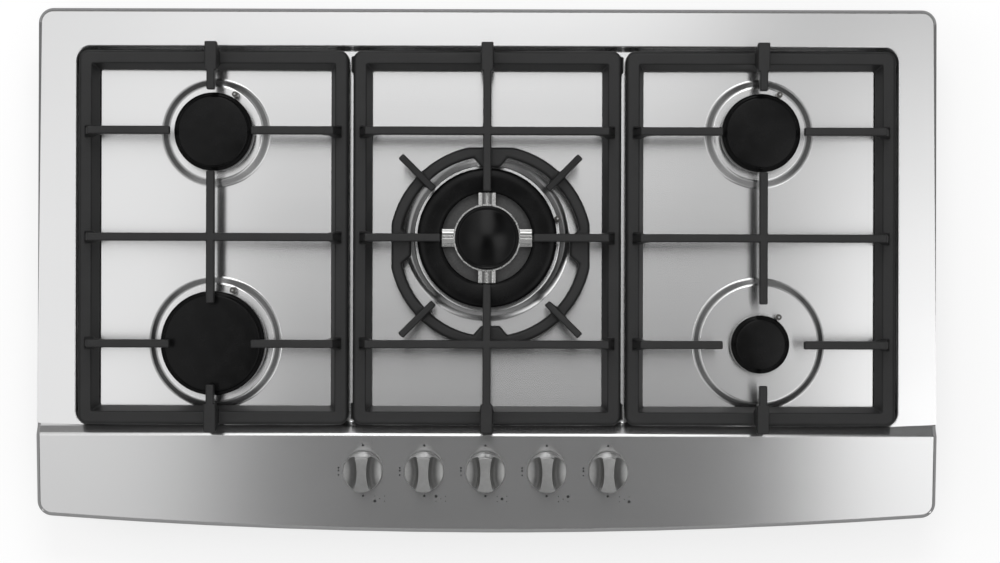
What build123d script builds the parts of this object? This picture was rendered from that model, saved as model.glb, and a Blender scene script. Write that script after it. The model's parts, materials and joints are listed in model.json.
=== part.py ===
from build123d import *
import os
from dataclasses import dataclass
from math import cos, radians, sin, tan

# Gas cooktop, 90 cm, five burners, drop-in. Millimetres. +X right, +Y rear, +Z up.
# The origin is the middle of the footprint, on the underside of the base pan.
os.makedirs("parts", exist_ok=True)

LOW = (Align.CENTER, Align.CENTER, Align.MIN)

# ---------------------------------------------------------------- plate
PLATE_WIDTH = 900.0
PLATE_DEPTH = 525.0  # on the centre line, from the rear edge to the front of the bow
FRONT_BOW = 17.0  # how much further the front edge stands out in the middle than at its ends
PLATE_CORNER = 15.0
SHEET = 1.0
RETURN_FLANGE = 17.0

WORKTOP_Z = 52.0
SKIRT_Z = 55.0
RIM_Z = 63.0
DECK_Z = 58.0
PLATEAU_Z = 62.0
RIDGE_Z = 69.0
PANEL_TILT = 5.0

RECESS_HALF_X = 410.5
RECESS_REAR_Y = 223.7
RECESS_FRONT_Y = -154.7
RECESS_DRAFT = 2.2
RECESS_CORNER = 14.0
RIDGE_Y = -163.5

BURNER_X = 272.0
CENTRE_Y = 32.6
BURNER_PITCH_Y = 105.0
REAR_Y = CENTRE_Y + BURNER_PITCH_Y
FRONT_Y = CENTRE_Y - BURNER_PITCH_Y

FIT = 0.05  # radial clearance of turning and sliding fits
LOOSE = 0.3  # clearance between cast or pressed pieces

REAR_EDGE_Y = PLATE_DEPTH / 2
FRONT_EDGE_Y = -PLATE_DEPTH / 2

# ---------------------------------------------------------------- burners
CAP_HEIGHT = 9.0
NECK_BOTTOM_Z = 44.0
NECK_WALL = 3.0
FLANGE_TOP_Z = 66.0
CUP_WALL = 3.0
CUP_BOTTOM_Z = 22.0
CUP_FLOOR_Z = 36.0
CUP_FLANGE = 3.0
CUP_FLANGE_REACH = 13.0
PIPE_Z = 29.0
PIPE_R = 4.0
PIPE_BORE_R = 3.0
INLET_BOSS_R = 5.0
INLET_REACH = 8.0

SCREW_R = 2.0
SCREW_HEAD_R = 3.6
SCREW_HEAD = 2.4
SCREW_SHANK = 5.6
SCREWS_PER_CUP = 3
SCREW_RING_REACH = 2.6  # the screws stand this far outside the cup's body

JET_R = 3.0
JET_HEAD_R = 4.5
JET_BORE_R = 0.6

CERAMIC_R = 3.0
CERAMIC_TOP_Z = 76.0
CERAMIC_BOTTOM_Z = 40.0
SPARK_PIN_R = 0.9
SPARK_TOP_Z = 80.0
SPARK_BOTTOM_Z = 32.0


@dataclass(frozen=True)
class Burner:
    """One single-ring burner: where it stands and how large it is."""

    name: str
    x: float
    y: float
    cap_r: float
    cap_top: float
    plateau_outer_r: float
    plateau_inner_r: float
    cup_r: float
    ports: int
    spark_r: float
    spark_angle: float
    inlet_angle: float


SINGLE_BURNERS = [
    Burner("rear_left", -BURNER_X, REAR_Y, 39.0, 85.0, 53.6, 47.1, 27.0, 28, 42.8, 61, 0),
    Burner("front_left", -BURNER_X, FRONT_Y, 51.8, 86.0, 65.6, 59.5, 38.0, 40, 55.8, 70, -90),
    Burner("rear_right", BURNER_X, REAR_Y, 39.0, 85.0, 53.6, 47.1, 27.0, 28, 42.8, 64, 180),
    Burner("front_right", BURNER_X, FRONT_Y, 29.0, 82.0, 65.6, 59.5, 18.0, 20, 32.8, 56, -90),
]
WOK_PLATEAU_OUTER_R = 80.0
WOK_PLATEAU_INNER_R = 73.0
WOK_CUP_R = 54.0
WOK_CAP_R = 69.2
WOK_CAP_BORE_R = 45.0
WOK_THROAT_R = 22.0
WOK_BASE_TOP_Z = 70.0
WOK_HEAD_TOP_Z = 82.0
WOK_INNER_TOP_Z = 92.0
WOK_SPARK_R = 72.8
WOK_SPARK_ANGLE = 15.6
WOK_JET_X = 36.0
BRIDGE_R = 44.6
BRIDGE_WIDTH = 18.0
BRIDGE_SLOT = 3.2


def polar(x, y, radius, angle):
    """The point at a radius and an angle about (x, y)."""
    return (x + radius * cos(radians(angle)), y + radius * sin(radians(angle)))


def cup_screw_points(x, y, cup_r):
    """The places of the screws that hold one burner cup under the plate."""
    step = 360 / SCREWS_PER_CUP
    return [polar(x, y, cup_r + SCREW_RING_REACH, 30 + step * i) for i in range(SCREWS_PER_CUP)]


CUPS = [(b.name, b.x, b.y, b.cup_r) for b in SINGLE_BURNERS] + [("wok", 0.0, CENTRE_Y, WOK_CUP_R)]
CUP_SCREWS = [p for _, x, y, r in CUPS for p in cup_screw_points(x, y, r)]
SPARK_POINTS = [polar(b.x, b.y, b.spark_r, b.spark_angle) for b in SINGLE_BURNERS]
SPARK_POINTS.append(polar(0.0, CENTRE_Y, WOK_SPARK_R, WOK_SPARK_ANGLE))
JET_POINTS = [(b.x, b.y) for b in SINGLE_BURNERS] + [(0.0, CENTRE_Y), (WOK_JET_X, CENTRE_Y)]

# ---------------------------------------------------------------- grates
SIDE_GRATE_WIDTH = 268.0
CENTRE_GRATE_WIDTH = 266.4
GRATE_DEPTH = 372.0
GRATE_CORNER = 9.0
GRATE_INNER_CORNER = 1.5
GRATE_EDGE = 2.2
FOOT_HEIGHT = 4.0
FOOT_R = 5.0
FOOT_STEM_R = 2.0
FOOT_INSET = 9.0
FRAME_Z = DECK_Z + FOOT_HEIGHT
FRAME_TOP_Z = DECK_Z + 22.0
FRAME_FLAT = 13.0
FRAME_SLOPE = 5.5
BAR_TOP_Z = DECK_Z + 46.0
BAR_UNDER_Z = DECK_Z + 35.0
TIP_UNDER_Z = DECK_Z + 38.0
BAR_WIDTH = 8.0
FINGER_R = 40.0
WOK_FINGER_R = 45.8
LEG_REACH = 6.5
LEG_ROOT_WIDTH = 12.5
LEG_ROOT_HEIGHT = 12.0
OVERHANG = 6.4
OVERHANG_WIDTH = 12.0
SPACER = 2.2
SPACER_LENGTH = 16.0
SPACER_PITCH_INSET = 27.0

RING_X = 3.5
RING_Y = 24.2
RING_OUTER_R = 100.6
RING_INNER_R = 89.0
RING_Z = DECK_Z + 22.0
RING_TOP_Z = DECK_Z + 31.0
RING_PAD_R = 78.6
RING_PAD_WIDTH = 18.4
RING_PAD_ROOT = 35.0
RING_FLAT_R = 98.2
PRONG_WIDTH = 7.0
PRONG_INNER_R = 79.0
PRONG_OUTER_R = 124.5
PRONG_INNER_Z = DECK_Z + 40.0
PRONG_OUTER_Z = DECK_Z + 52.0
LEG_INNER_R = 91.0
LEG_OUTER_R = 101.0

# ---------------------------------------------------------------- knobs, taps and gas
KNOB_PITCH = 61.2
KNOB_ROW_X = -1.0
KNOB_Y = -199.6
TAP_NAMES = ["front_left", "rear_left", "wok", "rear_right", "front_right"]
TAP_XS = [KNOB_ROW_X + KNOB_PITCH * (i - 2) for i in range(len(TAP_NAMES))]
# heights along a tap's axis are counted from the panel's face
KNOB_R = 19.6
KNOB_SKIRT_LOW = 4.2
KNOB_SKIRT_TOP = 8.5
KNOB_TOP = 26.0
GRIP_ROUND = 19.0
GRIP_REAR = 13.4
GRIP_WAIST = 9.4
GRIP_FRONT = 16.0
SPINDLE_R = 4.0
SPINDLE_FLAT = 3.0
SPINDLE_TOP = 19.0
SPINDLE_HEAD_FLAT = 9.0
SPINDLE_LOW = -32.0
SPINDLE_HOLE_R = 6.5
TAP_R = 12.0
TAP_TOP = -24.0
TAP_LOW = -44.0
TAP_NECK_R = 6.0
TAP_NECK = 7.0
PLUG_R = 8.0
PLUG_TOP = -28.0
PLUG_LOW = -41.0
PLUG_BORE_LOW = -38.5
SPRING_R = 2.9
SPRING_BORE_R = 1.9
GAS_WAY_R = 1.8
OUTLET_R = 5.0
OUTLET_Y = -180.0
WOK_OUTLET_X = 7.0
RAIL_R = 8.0
RAIL_BORE_R = 6.5
RAIL_Y = -195.6
RAIL_Z = 13.0
RAIL_END_X = -140.0
RAIL_BEND_R = 16.0
PIPE_BEND_R = 12.0
BRACKET_HALF_X = 150.0
BRACKET_DEPTH = 30.0
BRACKET_SHEET = 2.0

# ---------------------------------------------------------------- base pan
PAN_SHEET = 0.8
PAN_HALF_X = 414.0
PAN_REAR_Y = 228.0
PAN_FRONT_Y = -216.0
PAN_TOP_Z = 56.0
PAN_CORNER = 10.0
PAN_FLANGE = 10.0
PAN_DEPTH = PAN_REAR_Y - PAN_FRONT_Y
PAN_MID_Y = (PAN_REAR_Y + PAN_FRONT_Y) / 2
BOSS_R = 4.0
BOSS_HOLE = 5.6
BOSS_POINTS = [(side * (PAN_HALF_X + 5), y) for side in (-1, 1) for y in (-120.0, 150.0)]
BOSS_POINTS += [(x, y) for x in (-250.0, 250.0) for y in (PAN_FRONT_Y - 5, PAN_REAR_Y + 5)]
CLAMP_HOLE_R = 2.1
CLAMP_SPACING_X = 700.0
CLAMP_SPACING_Y = 300.0
POCKET_X = 340.0
POCKET_Y = 165.0
POCKET_Z = 41.0
ELBOW_X = 388.0
ELBOW_Y = 197.0
ELBOW_Z = 27.0
ELBOW_R = 12.0
ELBOW_FACE_Y = 172.0
INLET_R = 10.475
INLET_BORE_R = 6.5
INLET_TOP_Z = 16.0
INLET_LOW_Z = 2.0
BUSH_X = -330.0
BUSH_Z = 20.0
BUSH_BORE_R = 3.75
BUSH_NECK_R = 6.0
BUSH_FLANGE_R = 9.0
BUSH_FLANGE = 3.0
MODULE_X = -297.0
MODULE_Y = -196.0
MODULE_SIZE = (66.0, 28.0, 24.0)
LEAD_R = 1.5
LEAD_Z = 12.0
LEAD_PITCH = 12.0
LEAD_BEND_R = 8.0


def panel_z(y):
    """Height of the sloping control panel's face at y."""
    return RIDGE_Z - (RIDGE_Y - y) * tan(radians(PANEL_TILT))


def tap_plane(x, height):
    """The plane square to a knob's axis, at a height above the panel's face."""
    normal = Vector(0, -sin(radians(PANEL_TILT)), cos(radians(PANEL_TILT)))
    foot = Vector(x, KNOB_Y, panel_z(KNOB_Y))
    return Plane(origin=foot + normal * height, x_dir=(1, 0, 0), z_dir=normal)


def save(piece, label):
    """Labels a finished piece and writes it."""
    piece.part.label = label
    export_step(piece.part, f"parts/{label}.step")


def turned(points, x=0.0, y=0.0):
    """A solid turned about the upright axis through (x, y) from its (radius, height) outline."""
    with BuildPart() as turning:
        with BuildSketch(Plane(origin=(x, y, 0), x_dir=(1, 0, 0), z_dir=(0, -1, 0))):
            Polygon(*points, align=None)
        revolve(axis=Axis((x, y, 0), (0, 0, 1)))
    return turning.part


def tube(route, bend_r, outer_r, bore_r):
    """A bent pipe along straight runs joined by arcs; a bore radius of 0 makes it solid."""
    with BuildPart() as pipe:
        with BuildLine() as path:
            if len(route) > 2:
                FilletPolyline(*route, radius=bend_r)
            else:
                Line(*route)
        with BuildSketch(Plane(origin=path.line @ 0, z_dir=path.line % 0)):
            Circle(outer_r)
            if bore_r:
                Circle(bore_r, mode=Mode.SUBTRACT)
        sweep()
    return pipe.part


# ================================================================ top plate
def plate_outline(inset):
    """Plan of the plate: straight rear and sides, bowed front, rounded corners."""
    half = PLATE_WIDTH / 2
    front_corner_y = FRONT_EDGE_Y + FRONT_BOW
    with BuildSketch() as outline:
        with BuildLine():
            rear = Line((half, REAR_EDGE_Y), (-half, REAR_EDGE_Y))
            left = Line(rear @ 1, (-half, front_corner_y))
            bow = ThreePointArc(left @ 1, (0, FRONT_EDGE_Y), (half, front_corner_y))
            Line(bow @ 1, rear @ 0)
        make_face()
        fillet(outline.vertices(), PLATE_CORNER)
        if inset:
            offset(amount=-inset)
    return outline.sketch


def plate_form(skin):
    """The pressed plate's face with skin 0, or its underside with the sheet's thickness."""
    low = SKIRT_Z - skin
    side = [
        (REAR_EDGE_Y, low),
        (REAR_EDGE_Y, RIM_Z - skin),
        (RECESS_FRONT_Y, RIM_Z - skin),
        (RIDGE_Y, RIDGE_Z - skin),
        (FRONT_EDGE_Y, panel_z(FRONT_EDGE_Y) - skin),
        (FRONT_EDGE_Y, low),
    ]
    recess_x = 2 * (RECESS_HALF_X + skin)
    recess_y = RECESS_REAR_Y - RECESS_FRONT_Y + 2 * skin
    recess_mid_y = (RECESS_REAR_Y + RECESS_FRONT_Y) / 2
    rises = [(b.x, b.y, b.plateau_outer_r, b.plateau_inner_r) for b in SINGLE_BURNERS]
    rises.append((0.0, CENTRE_Y, WOK_PLATEAU_OUTER_R, WOK_PLATEAU_INNER_R))
    with BuildPart() as form:
        with BuildSketch(Plane.YZ.offset(-PLATE_WIDTH / 2)):
            Polygon(*side, align=None)
        extrude(amount=PLATE_WIDTH)
        with BuildSketch(Plane.XY.offset(low)):
            add(plate_outline(skin))
        extrude(amount=RIDGE_Z - low, mode=Mode.INTERSECT)
        for height, draft in ((DECK_Z - skin, RECESS_DRAFT), (RIM_Z - skin, 0.0)):
            with BuildSketch(Plane.XY.offset(height)):
                with Locations((0, recess_mid_y)):
                    RectangleRounded(recess_x - 2 * draft, recess_y - 2 * draft, RECESS_CORNER)
        loft(mode=Mode.SUBTRACT)
        for x, y, outer_r, inner_r in rises:
            with Locations((x, y, DECK_Z - skin)):
                Cone(outer_r - skin / 2, inner_r - skin / 2, PLATEAU_Z - DECK_Z, align=LOW)
    return form.part


with BuildPart() as top_plate:
    add(plate_form(0.0))
    add(plate_form(SHEET), mode=Mode.SUBTRACT)
    # the edge is folded in under the skirt, where it lies on the seal
    with BuildSketch(Plane.XY.offset(SKIRT_Z)):
        add(plate_outline(SHEET / 2))
        add(plate_outline(RETURN_FLANGE), mode=Mode.SUBTRACT)
    extrude(amount=SHEET)
    # tapped bosses welded under the border, for the base pan's screws
    for x, y in BOSS_POINTS:
        sheet_z = RIM_Z if y > RIDGE_Y else panel_z(y)
        with Locations((x, y, PAN_TOP_Z)):
            Cylinder(BOSS_R, sheet_z - SHEET / 2 - PAN_TOP_Z, align=LOW)
            Cylinder(SCREW_R + FIT, BOSS_HOLE, align=LOW, mode=Mode.SUBTRACT)
    # a hole for each burner's neck, its screws and its electrode
    with BuildSketch(Plane.XY.offset(DECK_Z - SHEET)):
        for _, x, y, r in CUPS:
            with Locations((x, y)):
                Circle(r - CUP_WALL)
        with Locations(*CUP_SCREWS):
            Circle(SCREW_R + 2 * FIT)
        with Locations(*SPARK_POINTS):
            Circle(CERAMIC_R + LOOSE)
    extrude(amount=RIM_Z - DECK_Z, mode=Mode.SUBTRACT)
    # a hole for each tap spindle, square to the sloping panel
    for x in TAP_XS:
        with BuildSketch(tap_plane(x, 3.0)):
            Circle(SPINDLE_HOLE_R)
        extrude(amount=-8.0, mode=Mode.SUBTRACT)
save(top_plate, "top_plate")

# ================================================================ worktop seal
with BuildPart() as worktop_seal:
    with BuildSketch(Plane.XY.offset(WORKTOP_Z)):
        add(plate_outline(4.0))
        add(plate_outline(14.0), mode=Mode.SUBTRACT)
    extrude(amount=SKIRT_Z - WORKTOP_Z)
save(worktop_seal, "worktop_seal")


# ================================================================ base pan
def pan_form(skin):
    """The pan's outer form with skin 0, or its hollow with the sheet's thickness."""
    pocket_x = POCKET_X - skin
    pocket_y = POCKET_Y - skin
    pocket_size = (PAN_HALF_X + 1 - pocket_x, PAN_REAR_Y + 1 - pocket_y)
    with BuildPart() as form:
        with BuildSketch(Plane.XY.offset(skin)):
            with Locations((0, PAN_MID_Y)):
                RectangleRounded(2 * (PAN_HALF_X - skin), PAN_DEPTH - 2 * skin, PAN_CORNER - skin)
        extrude(amount=PAN_TOP_Z)
        # the rear right corner is stepped up over the gas inlet
        with BuildSketch():
            with Locations((pocket_x + pocket_size[0] / 2, pocket_y + pocket_size[1] / 2)):
                Rectangle(*pocket_size)
        extrude(amount=POCKET_Z + skin, mode=Mode.SUBTRACT)
    return form.part


with BuildPart() as base_pan:
    add(pan_form(0.0))
    with BuildSketch(Plane.XY.offset(PAN_TOP_Z)):
        with Locations((0, PAN_MID_Y)):
            RectangleRounded(2 * (PAN_HALF_X + PAN_FLANGE), PAN_DEPTH + 2 * PAN_FLANGE, PAN_CORNER)
    extrude(amount=-PAN_SHEET)
    add(pan_form(PAN_SHEET), mode=Mode.SUBTRACT)
    with BuildSketch():
        with Locations(*BOSS_POINTS):
            Circle(SCREW_R + 2 * FIT)
        with GridLocations(CLAMP_SPACING_X, CLAMP_SPACING_Y, 2, 2):
            Circle(CLAMP_HOLE_R)
    extrude(amount=PAN_TOP_Z, mode=Mode.SUBTRACT)
    with BuildSketch(Plane.XZ.offset(-POCKET_Y - PAN_SHEET)):
        with Locations((ELBOW_X, ELBOW_Z)):
            Circle(RAIL_R + 1)
    extrude(amount=3 * PAN_SHEET, mode=Mode.SUBTRACT)
    with BuildSketch(Plane.XZ.offset(-PAN_REAR_Y - PAN_SHEET)):
        with Locations((BUSH_X, BUSH_Z)):
            Circle(BUSH_NECK_R + FIT)
    extrude(amount=3 * PAN_SHEET, mode=Mode.SUBTRACT)
save(base_pan, "base_pan")

with BuildPart() as m4_screws:
    head_tops = [(x, y, PLATEAU_Z, 1) for x, y in CUP_SCREWS]
    head_tops += [(x, y, PAN_TOP_Z - PAN_SHEET, -1) for x, y in BOSS_POINTS]
    for x, y, seat_z, up in head_tops:
        with BuildSketch(Plane(origin=(x, y, seat_z), z_dir=(0, 0, up))):
            Circle(SCREW_HEAD_R)
        extrude(amount=SCREW_HEAD)
        with BuildSketch(Plane(origin=(x, y, seat_z), z_dir=(0, 0, -up))):
            Circle(SCREW_R)
        extrude(amount=SCREW_SHANK)
save(m4_screws, "m4_screws")


# ================================================================ burner cups, jets, electrodes
def burner_cup(x, y, cup_r, inlets):
    """The cup under the plate that holds the jet; inlets are (x, y, angle) of its pipe bosses."""
    flange_r = cup_r + CUP_FLANGE_REACH
    flange_top = PLATEAU_Z - SHEET
    outline = [
        (0, CUP_BOTTOM_Z),
        (cup_r, CUP_BOTTOM_Z),
        (cup_r, flange_top - CUP_FLANGE),
        (flange_r, flange_top - CUP_FLANGE),
        (flange_r, flange_top),
        (cup_r - CUP_WALL, flange_top),
        (cup_r - CUP_WALL, CUP_FLOOR_Z),
        (0, CUP_FLOOR_Z),
    ]
    with BuildPart() as cup:
        add(turned(outline, x, y))
        for jet_x, jet_y, angle in inlets:
            along = Vector(cos(radians(angle)), sin(radians(angle)), 0)
            with BuildSketch(Plane(origin=(jet_x, jet_y, PIPE_Z), z_dir=along)):
                Circle(INLET_BOSS_R)
            extrude(amount=cup_r + INLET_REACH)
        for jet_x, jet_y, angle in inlets:
            along = Vector(cos(radians(angle)), sin(radians(angle)), 0)
            with BuildSketch(Plane(origin=(jet_x, jet_y, PIPE_Z), z_dir=along)):
                Circle(PIPE_BORE_R)
            extrude(amount=cup_r + INLET_REACH, mode=Mode.SUBTRACT)
            with BuildSketch(Plane.XY.offset(PIPE_Z)):
                with Locations((jet_x, jet_y)):
                    Circle(JET_R + FIT)
            extrude(amount=CUP_FLOOR_Z - PIPE_Z, mode=Mode.SUBTRACT)
        with BuildSketch(Plane.XY.offset(CUP_FLOOR_Z)):
            with Locations(*cup_screw_points(x, y, cup_r)):
                Circle(SCREW_R + FIT)
            with Locations(*SPARK_POINTS):
                Circle(CERAMIC_R + LOOSE)
        extrude(amount=flange_top - CUP_FLOOR_Z, mode=Mode.SUBTRACT)
    return cup


for burner in SINGLE_BURNERS:
    inlets = [(burner.x, burner.y, burner.inlet_angle)]
    save(burner_cup(burner.x, burner.y, burner.cup_r, inlets), f"{burner.name}_cup")
wok_inlets = [(0.0, CENTRE_Y, -90), (WOK_JET_X, CENTRE_Y, -90)]
save(burner_cup(0.0, CENTRE_Y, WOK_CUP_R, wok_inlets), "wok_cup")

with BuildPart() as burner_jets:
    for x, y in JET_POINTS:
        with Locations((x, y, PIPE_Z + 2)):
            Cylinder(JET_R, CUP_FLOOR_Z - PIPE_Z - 2, align=LOW)
        with BuildSketch(Plane.XY.offset(CUP_FLOOR_Z)):
            with Locations((x, y)):
                RegularPolygon(JET_HEAD_R, 6)
        extrude(amount=5.0)
        with Locations((x, y, PIPE_Z + 2)):
            Cylinder(JET_BORE_R, CUP_FLOOR_Z, align=LOW, mode=Mode.SUBTRACT)
save(burner_jets, "burner_jets")

with BuildPart() as spark_ceramics:
    with Locations(*[(x, y, CERAMIC_BOTTOM_Z) for x, y in SPARK_POINTS]):
        Cylinder(CERAMIC_R, CERAMIC_TOP_Z - CERAMIC_BOTTOM_Z, align=LOW)
        Cylinder(SPARK_PIN_R + FIT, CERAMIC_TOP_Z, align=LOW, mode=Mode.SUBTRACT)
save(spark_ceramics, "spark_ceramics")

with BuildPart() as spark_pins:
    with Locations(*[(x, y, SPARK_BOTTOM_Z) for x, y in SPARK_POINTS]):
        Cylinder(SPARK_PIN_R, SPARK_TOP_Z - SPARK_BOTTOM_Z, align=LOW)
save(spark_pins, "spark_pins")


# ================================================================ single burners
def cut_ports(x, y, radius, top_z, count):
    """Flame ports: slots through a head's wall, open at its top."""
    with Locations((x, y, top_z)):
        with PolarLocations(radius, count):
            Box(10, 1.6, 8, mode=Mode.SUBTRACT)


for burner in SINGLE_BURNERS:
    head_top = burner.cap_top - CAP_HEIGHT
    neck_r = burner.cup_r - CUP_WALL - LOOSE
    hollow_r = burner.cup_r + SCREW_RING_REACH + SCREW_HEAD_R + 0.6
    flange_r = burner.cap_r - 0.5
    wall_r = burner.cap_r - 2.5
    wall_inner_r = wall_r - 6.0
    with BuildPart() as head:
        outline = [
            (neck_r - NECK_WALL, NECK_BOTTOM_Z),
            (neck_r, NECK_BOTTOM_Z),
            (neck_r, PLATEAU_Z + 3),
            (hollow_r, PLATEAU_Z + 3),
            (hollow_r, PLATEAU_Z),
            (flange_r, PLATEAU_Z),
            (flange_r, FLANGE_TOP_Z),
            (wall_r, FLANGE_TOP_Z + 2),
            (wall_r, head_top),
            (wall_inner_r, head_top),
            (wall_inner_r, FLANGE_TOP_Z + 2),
            (neck_r - NECK_WALL, FLANGE_TOP_Z + 2),
        ]
        add(turned(outline, burner.x, burner.y))
        cut_ports(burner.x, burner.y, wall_r - 3, head_top, burner.ports)
    save(head, f"{burner.name}_head")
    with BuildPart() as cap:
        outline = [
            (0, head_top - 3),
            (wall_inner_r - LOOSE, head_top - 3),
            (wall_inner_r - LOOSE, head_top),
            (burner.cap_r - 1, head_top),
            (burner.cap_r, head_top + 1),
            (burner.cap_r, head_top + 3),
            (burner.cap_r - 1.4, head_top + 4.6),
            (burner.cap_r - 3.2, head_top + 5.2),
            (burner.cap_r - 3.8, head_top + 7.4),
            (burner.cap_r - 5.5, head_top + 8.4),
            (0, burner.cap_top),
        ]
        add(turned(outline, burner.x, burner.y))
    save(cap, f"{burner.name}_cap")

# ================================================================ wok burner
# the aluminium base, with its neck in the cup
with BuildPart() as wok_burner_head:
    outline = [
        (47.5, NECK_BOTTOM_Z),
        (50.5, NECK_BOTTOM_Z),
        (50.5, PLATEAU_Z + 3),
        (61, PLATEAU_Z + 3),
        (61, PLATEAU_Z),
        (67.5, PLATEAU_Z),
        (67.5, FLANGE_TOP_Z),
        (66, FLANGE_TOP_Z + 2),
        (66, WOK_BASE_TOP_Z),
        (WOK_THROAT_R + LOOSE, WOK_BASE_TOP_Z),
        (WOK_THROAT_R + LOOSE, FLANGE_TOP_Z),
        (47.5, FLANGE_TOP_Z),
    ]
    add(turned(outline, 0.0, CENTRE_Y))
save(wok_burner_head, "wok_burner_head")

# the ring of flame ports, screwed to the base from below
with BuildPart() as wok_port_ring:
    outline = [
        (46, WOK_BASE_TOP_Z),
        (66, WOK_BASE_TOP_Z),
        (66, WOK_HEAD_TOP_Z),
        (60, WOK_HEAD_TOP_Z),
        (60, 76),
        (52, 76),
        (52, WOK_HEAD_TOP_Z),
        (46, WOK_HEAD_TOP_Z),
    ]
    add(turned(outline, 0.0, CENTRE_Y))
    cut_ports(0.0, CENTRE_Y, 63, WOK_HEAD_TOP_Z, 48)
    cut_ports(0.0, CENTRE_Y, 49, WOK_HEAD_TOP_Z, 24)
save(wok_port_ring, "wok_port_ring")

with BuildPart() as wok_outer_cap:
    top = WOK_HEAD_TOP_Z
    outline = [
        (WOK_CAP_BORE_R + 1, top),
        (52.3, top),
        (52.3, top - 1.5),
        (59.7, top - 1.5),
        (59.7, top),
        (WOK_CAP_R - 1, top),
        (WOK_CAP_R, top + 1),
        (WOK_CAP_R, top + 3.4),
        (WOK_CAP_R - 2, top + 5.4),
        (WOK_CAP_R - 3.4, top + 6),
        (WOK_CAP_BORE_R + 4, top + 6),
        (WOK_CAP_BORE_R, top + 4),
        (WOK_CAP_BORE_R, top + 1),
    ]
    add(turned(outline, 0.0, CENTRE_Y))
save(wok_outer_cap, "wok_outer_cap")

with BuildPart() as wok_inner_head:
    # its throat hangs through the base, down to the inner jet's mixing space
    outline = [
        (19, 50),
        (WOK_THROAT_R, 50),
        (WOK_THROAT_R, WOK_BASE_TOP_Z),
        (33, WOK_BASE_TOP_Z),
        (33, WOK_INNER_TOP_Z),
        (28, WOK_INNER_TOP_Z),
        (28, 78),
        (19, 78),
    ]
    add(turned(outline, 0.0, CENTRE_Y))
    # four bridges carry the flame out over the inner edge of the outer cap
    with BuildSketch(Plane.XY.offset(84)):
        with Locations((0, CENTRE_Y)):
            Rectangle(2 * BRIDGE_R, BRIDGE_WIDTH)
            Rectangle(BRIDGE_WIDTH, 2 * BRIDGE_R)
            Circle(BRIDGE_R, mode=Mode.INTERSECT)
            Circle(30.0, mode=Mode.SUBTRACT)
    extrude(amount=7.0)
    with Locations((0, CENTRE_Y, 91)):
        with PolarLocations(40.0, 4):
            Box(14, BRIDGE_SLOT, 8, mode=Mode.SUBTRACT)
    cut_ports(0.0, CENTRE_Y, 31, WOK_INNER_TOP_Z, 20)
save(wok_inner_head, "wok_inner_head")

with BuildPart() as wok_inner_cap:
    top = WOK_INNER_TOP_Z
    outline = [
        (0, top - 3),
        (27.6, top - 3),
        (27.6, top),
        (31, top),
        (32, top + 1),
        (32, top + 3),
        (30.5, top + 4.5),
        (24, top + 5.6),
        (0, top + 6),
    ]
    add(turned(outline, 0.0, CENTRE_Y))
save(wok_inner_cap, "wok_inner_cap")


# ================================================================ grates
def bar_side(start, end, low_start, low_end):
    """Side view of a pan support bar, along its length: True at an end makes a leg on the frame."""
    foot = FRAME_TOP_Z - 2
    outline = []
    for s, leg, out in ((start, low_start, -1), (end, low_end, 1)):
        rim = [
            (s + out * LEG_REACH, foot),
            (s, BAR_TOP_Z),
        ]
        root = [
            (s - out * 7, foot),
            (s - out * 14, BAR_UNDER_Z),
        ]
        tip = [
            (s, BAR_TOP_Z),
            (s, TIP_UNDER_Z),
            (s - out * 14, BAR_UNDER_Z),
        ]
        if out < 0:
            outline += (root[::-1] + rim) if leg else tip[::-1]
        else:
            outline += (rim[::-1] + root) if leg else tip
    return outline


def upright(along_x, across, outline, width):
    """An upright plate from its side view, along X at y = across, or along Y at x = across."""
    if along_x:
        side = Plane(origin=(0, across, 0), x_dir=(1, 0, 0), z_dir=(0, -1, 0))
    else:
        side = Plane(origin=(across, 0, 0), x_dir=(0, 1, 0), z_dir=(1, 0, 0))
    with BuildPart() as bar:
        with BuildSketch(side):
            Polygon(*outline, align=None)
        extrude(amount=width / 2, both=True)
    return bar.part


def leg_root(along_x, across, end, out):
    """The widened root of a bar's leg on the frame; out is -1 or 1 along the bar."""
    foot = FRAME_TOP_Z - 2
    with BuildPart() as root:
        # how far each end of the taper reaches into the opening and out over the frame
        for height, inward, outward, width in (
            (foot, 3.0, LEG_REACH, LEG_ROOT_WIDTH),
            (foot + LEG_ROOT_HEIGHT, 7.0, LEG_REACH / 2, BAR_WIDTH),
        ):
            middle = end + out * (outward - inward) / 2
            length = inward + outward
            with BuildSketch(Plane.XY.offset(height)):
                with Locations((middle, across) if along_x else (across, middle)):
                    Rectangle(*((length, width) if along_x else (width, length)))
        loft()
    return root.part


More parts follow.
